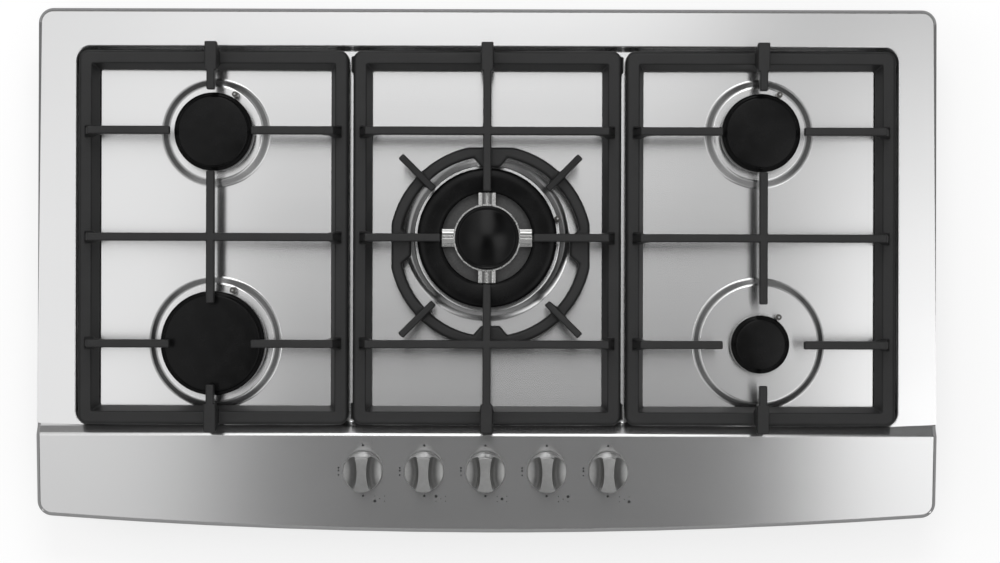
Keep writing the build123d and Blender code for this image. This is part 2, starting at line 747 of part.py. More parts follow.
def grate(centre_x, width, finger_circles, spacers):
    """One grate; finger_circles are (y, radius) of the burners that its fingers surround."""
    half_x = width / 2 - FRAME_FLAT
    half_y = GRATE_DEPTH / 2 - FRAME_FLAT
    opening = (width - 2 * FRAME_FLAT, GRATE_DEPTH - 2 * FRAME_FLAT)
    foot_x = width / 2 - FOOT_INSET
    foot_y = GRATE_DEPTH / 2 - FOOT_INSET
    feet = [(centre_x + sx * foot_x, CENTRE_Y + sy * foot_y) for sx in (-1, 1) for sy in (-1, 1)]
    with BuildPart() as casting:
        with BuildSketch(Plane.XY.offset(FRAME_Z)):
            with Locations((centre_x, CENTRE_Y)):
                RectangleRounded(width, GRATE_DEPTH, GRATE_CORNER)
        extrude(amount=FRAME_TOP_Z - FRAME_Z)
        chamfer(casting.faces().sort_by(Axis.Z)[-1].edges(), GRATE_EDGE)
        for height, slope in ((FRAME_Z, FRAME_SLOPE), (FRAME_TOP_Z, 0.0)):
            with BuildSketch(Plane.XY.offset(height)):
                with Locations((centre_x, CENTRE_Y)):
                    inner = (opening[0] - 2 * slope, opening[1] - 2 * slope)
                    RectangleRounded(*inner, GRATE_INNER_CORNER)
        loft(mode=Mode.SUBTRACT)
        # cross bars over the frame, and fingers that stop at a circle about each burner
        for y in (FRONT_Y, CENTRE_Y, REAR_Y):
            circles = [r for burner_y, r in finger_circles if burner_y == y]
            if circles:
                left = bar_side(centre_x - half_x, centre_x - circles[0], True, False)
                right = bar_side(centre_x + circles[0], centre_x + half_x, False, True)
                add(upright(True, y, left, BAR_WIDTH))
                add(upright(True, y, right, BAR_WIDTH))
            else:
                whole = bar_side(centre_x - half_x, centre_x + half_x, True, True)
                add(upright(True, y, whole, BAR_WIDTH))
        stops = [CENTRE_Y - half_y]
        for burner_y, r in sorted(finger_circles):
            stops += [burner_y - r, burner_y + r]
        stops.append(CENTRE_Y + half_y)
        spans = list(zip(stops[::2], stops[1::2]))
        for i, (start, end) in enumerate(spans):
            side = bar_side(start, end, i == 0, i == len(spans) - 1)
            add(upright(False, centre_x, side, BAR_WIDTH))
        for y in (FRONT_Y, CENTRE_Y, REAR_Y):
            for out in (-1, 1):
                add(leg_root(True, y, centre_x + out * half_x, out))
        for out in (-1, 1):
            add(leg_root(False, centre_x, CENTRE_Y + out * half_y, out))
        # the ends of the middle bar are wider and stand out over the frame
        for out in (-1, 1):
            y = CENTRE_Y + out * GRATE_DEPTH / 2
            knee = [
                (y - out * 22, BAR_TOP_Z),
                (y + out * OVERHANG, BAR_TOP_Z),
                (y + out * OVERHANG, BAR_TOP_Z - 7),
                (y - out * 1.5, FRAME_TOP_Z - 2),
                (y - out * 12, FRAME_TOP_Z - 2),
                (y - out * 22, BAR_UNDER_Z),
            ]
            add(upright(False, centre_x, knee, OVERHANG_WIDTH))
        if spacers:
            with BuildSketch(Plane.XY.offset(FRAME_Z)):
                with Locations((centre_x, CENTRE_Y)):
                    with GridLocations(width, GRATE_DEPTH - SPACER_PITCH_INSET, 2, 2):
                        Rectangle(2 * SPACER, SPACER_LENGTH)
            extrude(amount=FRAME_TOP_Z - FRAME_Z - 3.0)
        with Locations(*[(x, y, FRAME_Z) for x, y in feet]):
            Cylinder(FOOT_STEM_R + FIT, 5.0, align=LOW, mode=Mode.SUBTRACT)
    with BuildPart() as pads:
        with Locations(*[(x, y, DECK_Z) for x, y in feet]):
            Cylinder(FOOT_R, FOOT_HEIGHT, align=LOW)
            Cylinder(FOOT_STEM_R, FOOT_HEIGHT + 4.0, align=LOW)
    return casting, pads


CORNER_FINGERS = [(FRONT_Y, FINGER_R), (REAR_Y, FINGER_R)]
GRATES = [
    ("left", -BURNER_X, SIDE_GRATE_WIDTH, CORNER_FINGERS, False),
    ("centre", 0.0, CENTRE_GRATE_WIDTH, [(CENTRE_Y, WOK_FINGER_R)], True),
    ("right", BURNER_X, SIDE_GRATE_WIDTH, CORNER_FINGERS, False),
]
for side_name, grate_x, grate_width, fingers, has_spacers in GRATES:
    casting, pads = grate(grate_x, grate_width, fingers, has_spacers)
    save(casting, f"{side_name}_grate")
    save(pads, f"{side_name}_grate_feet")

# ================================================================ wok ring
with BuildPart() as wok_ring:
    with BuildSketch(Plane.XY.offset(RING_Z)):
        with Locations((RING_X, RING_Y)):
            Circle(RING_OUTER_R)
            Rectangle(2 * RING_FLAT_R, 2 * RING_FLAT_R, mode=Mode.INTERSECT)
            Circle(RING_INNER_R, mode=Mode.SUBTRACT)
            # a pad on each side, narrow towards the burner
            for angle in (0, 90, 180, 270):
                pad = [
                    (RING_PAD_R, -RING_PAD_WIDTH / 2),
                    (RING_PAD_R, RING_PAD_WIDTH / 2),
                    (RING_INNER_R - 1, RING_PAD_ROOT / 2),
                    (RING_INNER_R + 3, RING_PAD_ROOT / 2),
                    (RING_INNER_R + 3, -RING_PAD_ROOT / 2),
                    (RING_INNER_R - 1, -RING_PAD_ROOT / 2),
                ]
                Polygon(*pad, rotation=angle, align=None)
    extrude(amount=RING_TOP_Z - RING_Z)
    # a prong at each diagonal carries the wok, and its leg stands on the plate
    for angle in (45, 135, 225, 315):
        along = Vector(cos(radians(angle)), sin(radians(angle)), 0)
        across = Vector(sin(radians(angle)), -cos(radians(angle)), 0)
        prong = [
            (PRONG_INNER_R, RING_TOP_Z + 2),
            (LEG_INNER_R, RING_Z),
            (LEG_INNER_R + 2, DECK_Z),
            (LEG_OUTER_R - 2, DECK_Z),
            (LEG_OUTER_R, RING_Z),
            (PRONG_OUTER_R, PRONG_OUTER_Z - 9),
            (PRONG_OUTER_R, PRONG_OUTER_Z),
            (PRONG_OUTER_R - 4, PRONG_OUTER_Z),
            (PRONG_INNER_R, PRONG_INNER_Z),
        ]
        with BuildSketch(Plane(origin=(RING_X, RING_Y, 0), x_dir=along, z_dir=across)):
            Polygon(*prong, align=None)
        extrude(amount=PRONG_WIDTH / 2, both=True)
save(wok_ring, "wok_ring")


# ================================================================ taps, knobs
def rod(x, low, high, radius, flat=None):
    """A rod about a tap's axis between two heights, with a flat on its rear side if asked."""
    with BuildPart() as turning:
        with BuildSketch(tap_plane(x, low)):
            Circle(radius)
            if flat:
                with Locations((0, flat + radius)):
                    Rectangle(2 * radius, 2 * radius, mode=Mode.SUBTRACT)
        extrude(amount=high - low)
    return turning.part


def tap_axis_y(z):
    """Where a tap's axis passes a height z above the base."""
    return KNOB_Y - (z - panel_z(KNOB_Y)) * tan(radians(PANEL_TILT))


with BuildPart() as gas_taps:
    for name, x in zip(TAP_NAMES, TAP_XS):
        add(rod(x, TAP_LOW, TAP_TOP, TAP_R))
        add(rod(x, TAP_LOW - TAP_NECK, TAP_LOW, TAP_NECK_R))
        offsets = (-WOK_OUTLET_X, WOK_OUTLET_X) if name == "wok" else (0.0,)
        reach = 7.5 if name == "wok" else 9.5
        outlet_from = tap_axis_y(PIPE_Z) + reach
        for dx in offsets:
            with BuildSketch(Plane(origin=(x + dx, outlet_from, PIPE_Z), z_dir=(0, 1, 0))):
                Circle(OUTLET_R)
            extrude(amount=OUTLET_Y - outlet_from)
            with BuildSketch(Plane(origin=(x + dx, outlet_from - 4, PIPE_Z), z_dir=(0, 1, 0))):
                Circle(GAS_WAY_R)
            extrude(amount=OUTLET_Y - outlet_from + 4, mode=Mode.SUBTRACT)
        add(rod(x, PLUG_LOW - 0.2, PLUG_TOP + 0.1, PLUG_R + FIT), mode=Mode.SUBTRACT)
        add(rod(x, PLUG_TOP, TAP_TOP, SPINDLE_R + FIT), mode=Mode.SUBTRACT)
        add(rod(x, TAP_LOW - TAP_NECK, PLUG_LOW, GAS_WAY_R), mode=Mode.SUBTRACT)
    # each tap's foot is saddled on the rail
    with BuildSketch(Plane.YZ.offset(-200)):
        with Locations((RAIL_Y, RAIL_Z)):
            Circle(RAIL_R + FIT)
    extrude(amount=400, mode=Mode.SUBTRACT)
save(gas_taps, "gas_taps")

for name, x in zip(TAP_NAMES, TAP_XS):
    with BuildPart() as tap_plug:
        add(rod(x, PLUG_LOW, PLUG_TOP, PLUG_R))
        bore = rod(x, PLUG_BORE_LOW, PLUG_TOP, SPINDLE_R + FIT, SPINDLE_FLAT + FIT)
        add(bore, mode=Mode.SUBTRACT)
    save(tap_plug, f"{name}_tap_plug")

    with BuildPart() as spring:
        add(rod(x, PLUG_BORE_LOW, SPINDLE_LOW, SPRING_R))
        add(rod(x, PLUG_BORE_LOW, SPINDLE_LOW, SPRING_BORE_R), mode=Mode.SUBTRACT)
    save(spring, f"{name}_tap_spring")

    with BuildPart() as spindle:
        add(rod(x, SPINDLE_LOW, TAP_TOP, SPINDLE_R, SPINDLE_FLAT))
        add(rod(x, TAP_TOP, SPINDLE_HEAD_FLAT, SPINDLE_R))
        add(rod(x, SPINDLE_HEAD_FLAT, SPINDLE_TOP, SPINDLE_R, SPINDLE_FLAT))
    save(spindle, f"{name}_spindle")

    with BuildPart() as knob:
        add(rod(x, KNOB_SKIRT_LOW, KNOB_SKIRT_TOP, KNOB_R))
        # the grip is a waisted bar across the skirt
        with BuildSketch(tap_plane(x, KNOB_SKIRT_TOP)):
            with BuildLine():
                rear = Line((-GRIP_REAR / 2, GRIP_ROUND), (GRIP_REAR / 2, GRIP_ROUND))
                right = ThreePointArc(
                    rear @ 1, (GRIP_WAIST / 2, -2), (GRIP_FRONT / 2, -GRIP_ROUND)
                )
                front = Line(right @ 1, (-GRIP_FRONT / 2, -GRIP_ROUND))
                ThreePointArc(front @ 1, (-GRIP_WAIST / 2, -2), rear @ 0)
            make_face()
            Circle(GRIP_ROUND, mode=Mode.INTERSECT)
        extrude(amount=KNOB_TOP - KNOB_SKIRT_TOP)
        add(rod(x, KNOB_SKIRT_LOW, SPINDLE_HEAD_FLAT, SPINDLE_R + FIT), mode=Mode.SUBTRACT)
        socket_top = SPINDLE_TOP + FIT
        socket = rod(x, SPINDLE_HEAD_FLAT, socket_top, SPINDLE_R + FIT, SPINDLE_FLAT + FIT)
        add(socket, mode=Mode.SUBTRACT)
    save(knob, f"{name}_knob")

# ---------------------------------------------------------------- the taps' bracket
with BuildPart() as tap_bracket:
    with BuildSketch(tap_plane(KNOB_ROW_X, TAP_TOP)):
        Rectangle(2 * BRACKET_HALF_X, BRACKET_DEPTH)
        with Locations(*[(x - KNOB_ROW_X, 0) for x in TAP_XS]):
            Circle(SPINDLE_R + 1, mode=Mode.SUBTRACT)
    extrude(amount=BRACKET_SHEET)
    with BuildSketch(tap_plane(KNOB_ROW_X, TAP_TOP)):
        with GridLocations(2 * BRACKET_HALF_X - BRACKET_SHEET, 1, 2, 1):
            Rectangle(BRACKET_SHEET, BRACKET_DEPTH)
    extrude(amount=-TAP_TOP - SHEET - FIT)
save(tap_bracket, "tap_bracket")

# ================================================================ gas rail, inlet, pipes
with BuildPart() as gas_rail:
    rail_route = [
        (RAIL_END_X, RAIL_Y, RAIL_Z),
        (ELBOW_X, RAIL_Y, RAIL_Z),
        (ELBOW_X, 95.0, RAIL_Z),
        (ELBOW_X, 132.0, ELBOW_Z),
        (ELBOW_X, ELBOW_FACE_Y, ELBOW_Z),
    ]
    add(tube(rail_route, RAIL_BEND_R, RAIL_R, RAIL_BORE_R))
    with BuildSketch(Plane.YZ.offset(RAIL_END_X - 3)):
        with Locations((RAIL_Y, RAIL_Z)):
            Circle(RAIL_R)
    extrude(amount=3)
save(gas_rail, "gas_rail")

with BuildPart() as inlet_elbow:
    with Locations((ELBOW_X, ELBOW_Y, ELBOW_Z)):
        Sphere(ELBOW_R)
    with BuildSketch(Plane(origin=(ELBOW_X, ELBOW_FACE_Y, ELBOW_Z), z_dir=(0, 1, 0))):
        Circle(ELBOW_R - 1)
    extrude(amount=ELBOW_Y - ELBOW_FACE_Y)
    with BuildSketch(Plane.XY.offset(INLET_TOP_Z)):
        with Locations((ELBOW_X, ELBOW_Y)):
            RegularPolygon(ELBOW_R, 6)
    extrude(amount=ELBOW_Z - INLET_TOP_Z)
    with Locations((ELBOW_X, ELBOW_Y, INLET_LOW_Z)):
        Cylinder(INLET_R, INLET_TOP_Z - INLET_LOW_Z, align=LOW)
        Cylinder(INLET_BORE_R, ELBOW_Z - INLET_LOW_Z, align=LOW, mode=Mode.SUBTRACT)
    with BuildSketch(Plane(origin=(ELBOW_X, ELBOW_FACE_Y, ELBOW_Z), z_dir=(0, 1, 0))):
        Circle(INLET_BORE_R)
    extrude(amount=ELBOW_Y - ELBOW_FACE_Y, mode=Mode.SUBTRACT)
save(inlet_elbow, "inlet_elbow")

front_y, middle_y = -150.0, -125.0
side_x = 190.0
rapid, rear, aux = SINGLE_BURNERS[1], SINGLE_BURNERS[0], SINGLE_BURNERS[3]
rapid_end_y = rapid.y - rapid.cup_r - INLET_REACH
aux_end_y = aux.y - aux.cup_r - INLET_REACH
rear_end_x = BURNER_X - rear.cup_r - INLET_REACH
rear_left_end, rear_right_end = (-rear_end_x, REAR_Y), (rear_end_x, REAR_Y)
wok_end_y = CENTRE_Y - WOK_CUP_R - INLET_REACH
wok_left_x = TAP_XS[2] - WOK_OUTLET_X
wok_right_x = TAP_XS[2] + WOK_OUTLET_X
# each pipe leaves its tap's outlet, and runs through these points to its burner's cup
feed_routes = [
    (TAP_XS[0], [(TAP_XS[0], front_y), (-BURNER_X, front_y), (-BURNER_X, rapid_end_y)]),
    (TAP_XS[1], [(TAP_XS[1], middle_y), (-side_x, middle_y), (-side_x, REAR_Y), rear_left_end]),
    (wok_left_x, [(wok_left_x, -80.0), (0.0, -60.0), (0.0, wok_end_y)]),
    (wok_right_x, [(wok_right_x, -110.0), (WOK_JET_X, -80.0), (WOK_JET_X, wok_end_y)]),
    (TAP_XS[3], [(TAP_XS[3], middle_y), (side_x, middle_y), (side_x, REAR_Y), rear_right_end]),
    (TAP_XS[4], [(TAP_XS[4], front_y), (BURNER_X, front_y), (BURNER_X, aux_end_y)]),
]
with BuildPart() as feed_pipes:
    for outlet_x, points in feed_routes:
        route = [(x, y, PIPE_Z) for x, y in [(outlet_x, OUTLET_Y)] + points]
        add(tube(route, PIPE_BEND_R, PIPE_R, PIPE_BORE_R))
save(feed_pipes, "feed_pipes")

# ================================================================ ignition
with BuildPart() as ignition_module:
    with Locations((MODULE_X, MODULE_Y, PAN_SHEET)):
        Box(*MODULE_SIZE, align=LOW)
    fillet(ignition_module.edges().filter_by(Axis.Z), 3.0)
save(ignition_module, "ignition_module")

# (electrode, aisle): each lead runs back along Y to its aisle, then along X to its electrode
rear_left_spark, front_left_spark, rear_right_spark, front_right_spark, wok_spark = SPARK_POINTS
LEADS = [
    (rear_left_spark, rear_left_spark[1]),
    (rear_right_spark, rear_right_spark[1] - 20.0),
    (wok_spark, wok_spark[1]),
    (front_left_spark, front_left_spark[1]),
    (front_right_spark, front_right_spark[1]),
]
with BuildPart() as ignition_leads:
    for place, (spark, aisle_y) in enumerate(LEADS):
        lead_x = MODULE_X + LEAD_PITCH * (place - 2)
        route = [(lead_x, MODULE_Y + MODULE_SIZE[1] / 2, LEAD_Z), (lead_x, aisle_y, LEAD_Z)]
        if aisle_y != spark[1]:
            route.append((spark[0], aisle_y, LEAD_Z))
        route += [(*spark, LEAD_Z), (*spark, SPARK_BOTTOM_Z)]
        add(tube(route, LEAD_BEND_R, LEAD_R, 0))
save(ignition_leads, "ignition_leads")

with BuildPart() as cable_bush:
    bush_inside_y = PAN_REAR_Y - PAN_SHEET - BUSH_FLANGE
    for y, length, radius in (
        (bush_inside_y, BUSH_FLANGE, BUSH_FLANGE_R),
        (bush_inside_y, 2 * BUSH_FLANGE + PAN_SHEET, BUSH_NECK_R),
        (PAN_REAR_Y, BUSH_FLANGE, BUSH_FLANGE_R),
    ):
        with BuildSketch(Plane(origin=(BUSH_X, y, BUSH_Z), z_dir=(0, 1, 0))):
            Circle(radius)
        extrude(amount=length)
    with BuildSketch(Plane(origin=(BUSH_X, bush_inside_y, BUSH_Z), z_dir=(0, 1, 0))):
        Circle(BUSH_BORE_R)
    extrude(amount=2 * BUSH_FLANGE + PAN_SHEET, mode=Mode.SUBTRACT)
save(cable_bush, "cable_bush")
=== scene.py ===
"""Gas cooktop with five burners and three pan supports: the looks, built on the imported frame.

Blender's lengths are in metres; the sizes and arguments here are in millimetres.
"""

import json
import logging
import math
from collections.abc import Callable, Iterator, Sequence
from contextlib import contextmanager
from dataclasses import dataclass
from enum import Enum

import bmesh
import bpy
from mathutils import Euler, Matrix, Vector


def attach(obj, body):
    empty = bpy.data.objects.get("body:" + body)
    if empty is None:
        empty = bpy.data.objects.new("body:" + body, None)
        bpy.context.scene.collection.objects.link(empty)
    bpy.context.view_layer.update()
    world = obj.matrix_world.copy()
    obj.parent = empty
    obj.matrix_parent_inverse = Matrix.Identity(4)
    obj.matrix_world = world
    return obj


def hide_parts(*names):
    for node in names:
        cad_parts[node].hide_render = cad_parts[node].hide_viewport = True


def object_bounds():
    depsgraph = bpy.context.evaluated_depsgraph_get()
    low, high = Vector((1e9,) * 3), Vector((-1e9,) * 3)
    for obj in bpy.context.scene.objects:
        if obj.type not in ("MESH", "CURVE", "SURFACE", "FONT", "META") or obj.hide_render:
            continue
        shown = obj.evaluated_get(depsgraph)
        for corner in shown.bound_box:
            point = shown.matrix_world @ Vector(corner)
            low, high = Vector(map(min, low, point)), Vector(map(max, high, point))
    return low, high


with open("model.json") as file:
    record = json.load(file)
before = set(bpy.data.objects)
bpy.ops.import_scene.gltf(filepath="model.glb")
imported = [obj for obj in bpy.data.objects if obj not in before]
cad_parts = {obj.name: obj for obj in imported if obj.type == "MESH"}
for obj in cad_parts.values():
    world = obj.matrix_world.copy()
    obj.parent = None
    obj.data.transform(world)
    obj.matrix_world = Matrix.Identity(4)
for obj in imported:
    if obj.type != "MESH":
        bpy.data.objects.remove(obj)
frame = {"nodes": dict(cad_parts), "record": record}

log = logging.getLogger("cooktop")

MM = 0.001
CAD_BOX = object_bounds()

MERGE_GAP = 0.001
COPY_MERGE_GAP = 0.01
BEVEL_MERGE_GAP = 0.005
FLAT_DEGREES = 0.6
FLAT_FACE_WEIGHT = 80
PLATE_BODY = "cooktop"
BURNER_X = 272.0
CENTRE_Y = 32.6
PITCH_Y = 105.0
RIDGE_Z = 69.0
RIDGE_Y = -163.5
RECESS_FRONT_Y = -154.7
RECESS_REAR_Y = 223.7
RECESS_HALF_X = 410.5
PANEL_TILT = math.radians(5.0)
KNOB_Y = -199.6
KNOB_XS = (-123.4, -62.2, -1.0, 60.2, 121.4)
TAP_NAMES = ("front_left", "rear_left", "wok", "rear_right", "front_right")

Piece = bpy.types.Object
Edge = bmesh.types.BMEdge
Material = bpy.types.Material
Point = tuple[float, float]
Place = tuple[float, float, float]
Colour = tuple[float, float, float]
Socket = bpy.types.NodeSocket
Level = Socket | float
Filling = Level | Place
EdgeTest = Callable[[Edge], bool]
FaceTest = Callable[[bmesh.types.BMFace, Vector], bool]


# ---- hand tools
def clear_selection() -> None:
    """Leaves edit mode and deselects everything."""
    if bpy.context.object and bpy.context.object.mode != "OBJECT":
        bpy.ops.object.mode_set(mode="OBJECT")
    bpy.ops.object.select_all(action="DESELECT")


def make_active(piece: Piece) -> None:
    """Selects one piece alone and makes it the active one."""
    clear_selection()
    piece.select_set(True)
    bpy.context.view_layer.objects.active = piece


def select_whole() -> None:
    """Selects all of the mesh that is open in edit mode."""
    bpy.ops.mesh.select_all(action="SELECT")


def merge_near(gap: float) -> None:
    """Merges the points of the open mesh that lie within a gap, and leaves all selected."""
    select_whole()
    bpy.ops.mesh.remove_doubles(threshold=gap * MM)


def apply_place(piece: Piece) -> None:
    """Moves a piece's place, turn and scale into its mesh."""
    make_active(piece)
    bpy.ops.object.transform_apply(location=True, rotation=True, scale=True)


@contextmanager
def editing(piece: Piece) -> Iterator[None]:
    """Opens a piece in edit mode with nothing selected, and leaves edit mode at the end."""
    make_active(piece)
    bpy.ops.object.mode_set(mode="EDIT")
    bpy.ops.mesh.select_mode(type="VERT")
    bpy.ops.mesh.select_all(action="DESELECT")
    yield
    bpy.ops.object.mode_set(mode="OBJECT")


def pick_edges(piece: Piece, wanted: EdgeTest) -> int:
    """Selects edges of the piece that is open in edit mode.

    Args:
        piece: The piece in edit mode.
        wanted: Says of one edge whether it is selected.

    Returns:
        How many edges were selected.
    """
    bpy.ops.mesh.select_mode(type="EDGE")
    mesh = bmesh.from_edit_mesh(piece.data)
    count = 0
    for edge in mesh.edges:
        chosen = wanted(edge)
        edge.select_set(chosen)
        count += chosen
    mesh.select_flush_mode()
    bmesh.update_edit_mesh(piece.data)
    return count


def pick_faces(piece: Piece, wanted: FaceTest) -> None:
    """Selects faces of the piece that is open in edit mode.

    Args:
        piece: The piece in edit mode.
        wanted: Says of one face and its middle whether it is selected.
    """
    bpy.ops.mesh.select_mode(type="FACE")
    mesh = bmesh.from_edit_mesh(piece.data)
    for face in mesh.faces:
        face.select_set(wanted(face, face.calc_center_median() / MM))
    bmesh.update_edit_mesh(piece.data)


def middle(edge: Edge) -> Vector:
    """The middle of an edge."""
    return (edge.verts[0].co + edge.verts[1].co) / 2 / MM


def is_corner(edge: Edge, degrees: float = 25.0) -> bool:
    """Whether an edge's two faces meet at more than an angle."""
    return len(edge.link_faces) == 2 and edge.calc_face_angle(0.0) > math.radians(degrees)


def copy_of(node: str, name: str) -> Piece:
    """Copies a CAD node into a new piece of merged, flat faces.

    Args:
        node: The CAD node.
        name: The new piece's name.

    Returns:
        The copy, unparented, at the node's place.
    """
    mesh = frame["nodes"][node].data.copy()
    mesh.materials.clear()
    piece = bpy.data.objects.new(name, mesh)
    bpy.context.collection.objects.link(piece)
    make_active(piece)
    bpy.ops.mesh.customdata_custom_splitnormals_clear()
    with editing(piece):
        merge_near(COPY_MERGE_GAP)
        bpy.ops.mesh.dissolve_limited(angle_limit=math.radians(FLAT_DEGREES))
    return piece


def round_over(
    piece: Piece, width: float, wanted: EdgeTest, segments: int, profile: float = 0.5
) -> None:
    """Bevels the chosen edges of a piece.

    Args:
        piece: The piece.
        width: The bevel's width.
        wanted: Says of one edge whether it is rounded.
        segments: How many faces make the round.
        profile: 0.5 makes a quarter circle, less a flatter slope.
    """
    with editing(piece):
        count = pick_edges(piece, wanted)
        if count:
            bpy.ops.mesh.bevel(
                offset=width * MM, segments=segments, profile=profile, affect="EDGES"
            )
            merge_near(BEVEL_MERGE_GAP)
    log.info("%s: %d edges rounded by %.1f mm", piece.name, count, width)


def turned(name: str, profile: Sequence[Point], centre: Point, steps: int) -> Piece:
    """Turns a closed outline about an upright axis, as on a lathe.

    Args:
        name: The new piece's name.
        profile: (radius, height) points, in order.
        centre: The axis's place in plan.
        steps: How many faces go round.

    Returns:
        The turned piece, closed, with its faces outwards.
    """
    x, y = centre
    bpy.ops.mesh.primitive_plane_add(size=MM, location=(0, 0, 0))
    piece = bpy.context.object
    piece.name = name
    points = [Vector((x + r, y, z)) * MM for r, z in profile]
    closed = profile[0][0] > 0 or profile[-1][0] > 0
    with editing(piece):
        select_whole()
        bpy.ops.mesh.merge(type="CENTER")
        bpy.ops.transform.translate(value=points[0])
        for here, there in zip(points, points[1:] + (points[:1] if closed else [])):
            bpy.ops.mesh.extrude_vertices_move(TRANSFORM_OT_translate={"value": there - here})
        merge_near(MERGE_GAP)
        pivot = (x * MM, y * MM, 0)
        bpy.ops.mesh.spin(steps=steps, angle=2 * math.pi, center=pivot, axis=(0, 0, 1))
        merge_near(MERGE_GAP)
        bpy.ops.mesh.normals_make_consistent(inside=False)
    return piece


def soften(piece: Piece, width: float, segments: int, degrees: float = 28.0) -> None:
    """Rounds every corner of a piece with a bevel modifier that is applied.

    Args:
        piece: The piece.
        width: The bevel's width.
        segments: How many faces make the round.
        degrees: Corners flatter than this stay as they are.
    """
    make_active(piece)
    bevel = piece.modifiers.new("soft_edges", "BEVEL")
    bevel.width = width * MM
    bevel.segments = segments
    bevel.limit_method = "ANGLE"
    bevel.angle_limit = math.radians(degrees)
    bpy.ops.object.modifier_apply(modifier=bevel.name)


def cut_away(piece: Piece, cutter: Piece) -> None:
    """Cuts one mesh out of another and throws the cutter away.

    Args:
        piece: The piece.
        cutter: The mesh that is cut out.
    """
    make_active(piece)
    cut = piece.modifiers.new("cut", "BOOLEAN")
    cut.operation, cut.object, cut.solver = "DIFFERENCE", cutter, "EXACT"
    bpy.ops.object.modifier_apply(modifier=cut.name)
    bpy.data.objects.remove(cutter)


def join(name: str, parts: list[Piece]) -> Piece:
    """Joins several meshes into one piece.

    Args:
        name: The joined piece's name.
        parts: The meshes.

    Returns:
        The joined piece.
    """
    clear_selection()
    for part in parts:
        part.select_set(True)
    bpy.context.view_layer.objects.active = parts[0]
    bpy.ops.object.join()
    parts[0].name = name
    return parts[0]


def settle(
    piece: Piece,
    body: str,
    material: Material,
    nodes: tuple[str, ...] = (),
    smooth: float = 32.0,
) -> None:
    """Finishes a piece: its place into its mesh, its shading, its material, and what it rides on.

    Args:
        piece: The piece.
        body: The CAD body it moves with.
        material: Its material.
        nodes: CAD nodes that it stands for.
        smooth: Faces that meet at less than this many degrees are shaded as one.
    """
    apply_place(piece)
    bpy.ops.object.shade_smooth_by_angle(angle=math.radians(smooth))
    weighted = piece.modifiers.new("flat_faces_stay_flat", "WEIGHTED_NORMAL")
    weighted.keep_sharp = True
    weighted.weight = FLAT_FACE_WEIGHT
    bpy.ops.object.modifier_apply(modifier=weighted.name)
    piece.data.materials.clear()
    piece.data.materials.append(material)
    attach(piece, body)
    if nodes:
        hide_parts(*nodes)
    log.info("%s: %d faces, rides on %s", piece.name, len(piece.data.polygons), body)


# ---- finishes
class NodeBoard:
    """A board of shader nodes, with short calls for the nodes that repeat."""

    def __init__(self, tree: bpy.types.NodeTree) -> None:
        """Starts with an empty board."""
        self.tree = tree
        self.tree.nodes.clear()

    def fill(self, target: Socket, value: Filling) -> None:
        """Links a value into a socket, or sets the socket to a number, a vector or a colour."""
        if isinstance(value, Socket):
            self.tree.links.new(value, target)
        else:
            target.default_value = (*value, 1.0) if target.type == "RGBA" else value

    def fill_named(self, node: bpy.types.Node, **named: Filling) -> None:
        """Fills a node's inputs by their names, which are given with underscores."""
        for name, value in named.items():
            title = name.replace("_", " ").title().replace("Ior", "IOR")
            self.fill(node.inputs[title], value)

    def node(self, kind: str, *ordered: Filling, **named: Filling) -> bpy.types.Node:
        """Adds a node and fills its inputs.

        Args:
            kind: The node's type.
            ordered: What goes into its first inputs.
            named: What goes into its other inputs, by name.

        Returns:
            The node.
        """
        node = self.tree.nodes.new(kind)
        for target, value in zip(node.inputs, ordered):
            self.fill(target, value)
        self.fill_named(node, **named)
        return node

    def blend(self, share: Level, first: Level, second: Level) -> Socket:
        """The first value where the share is 0, the second where it is 1."""
        return self.node("ShaderNodeMix", factor=share, a=first, b=second).outputs["Result"]

    def choose(self, ray: Socket, other: Socket, chosen: Socket) -> Socket:
        """One shader for a kind of ray, and another for the rest."""
        return self.node("ShaderNodeMixShader", ray, other, chosen).outputs[0]


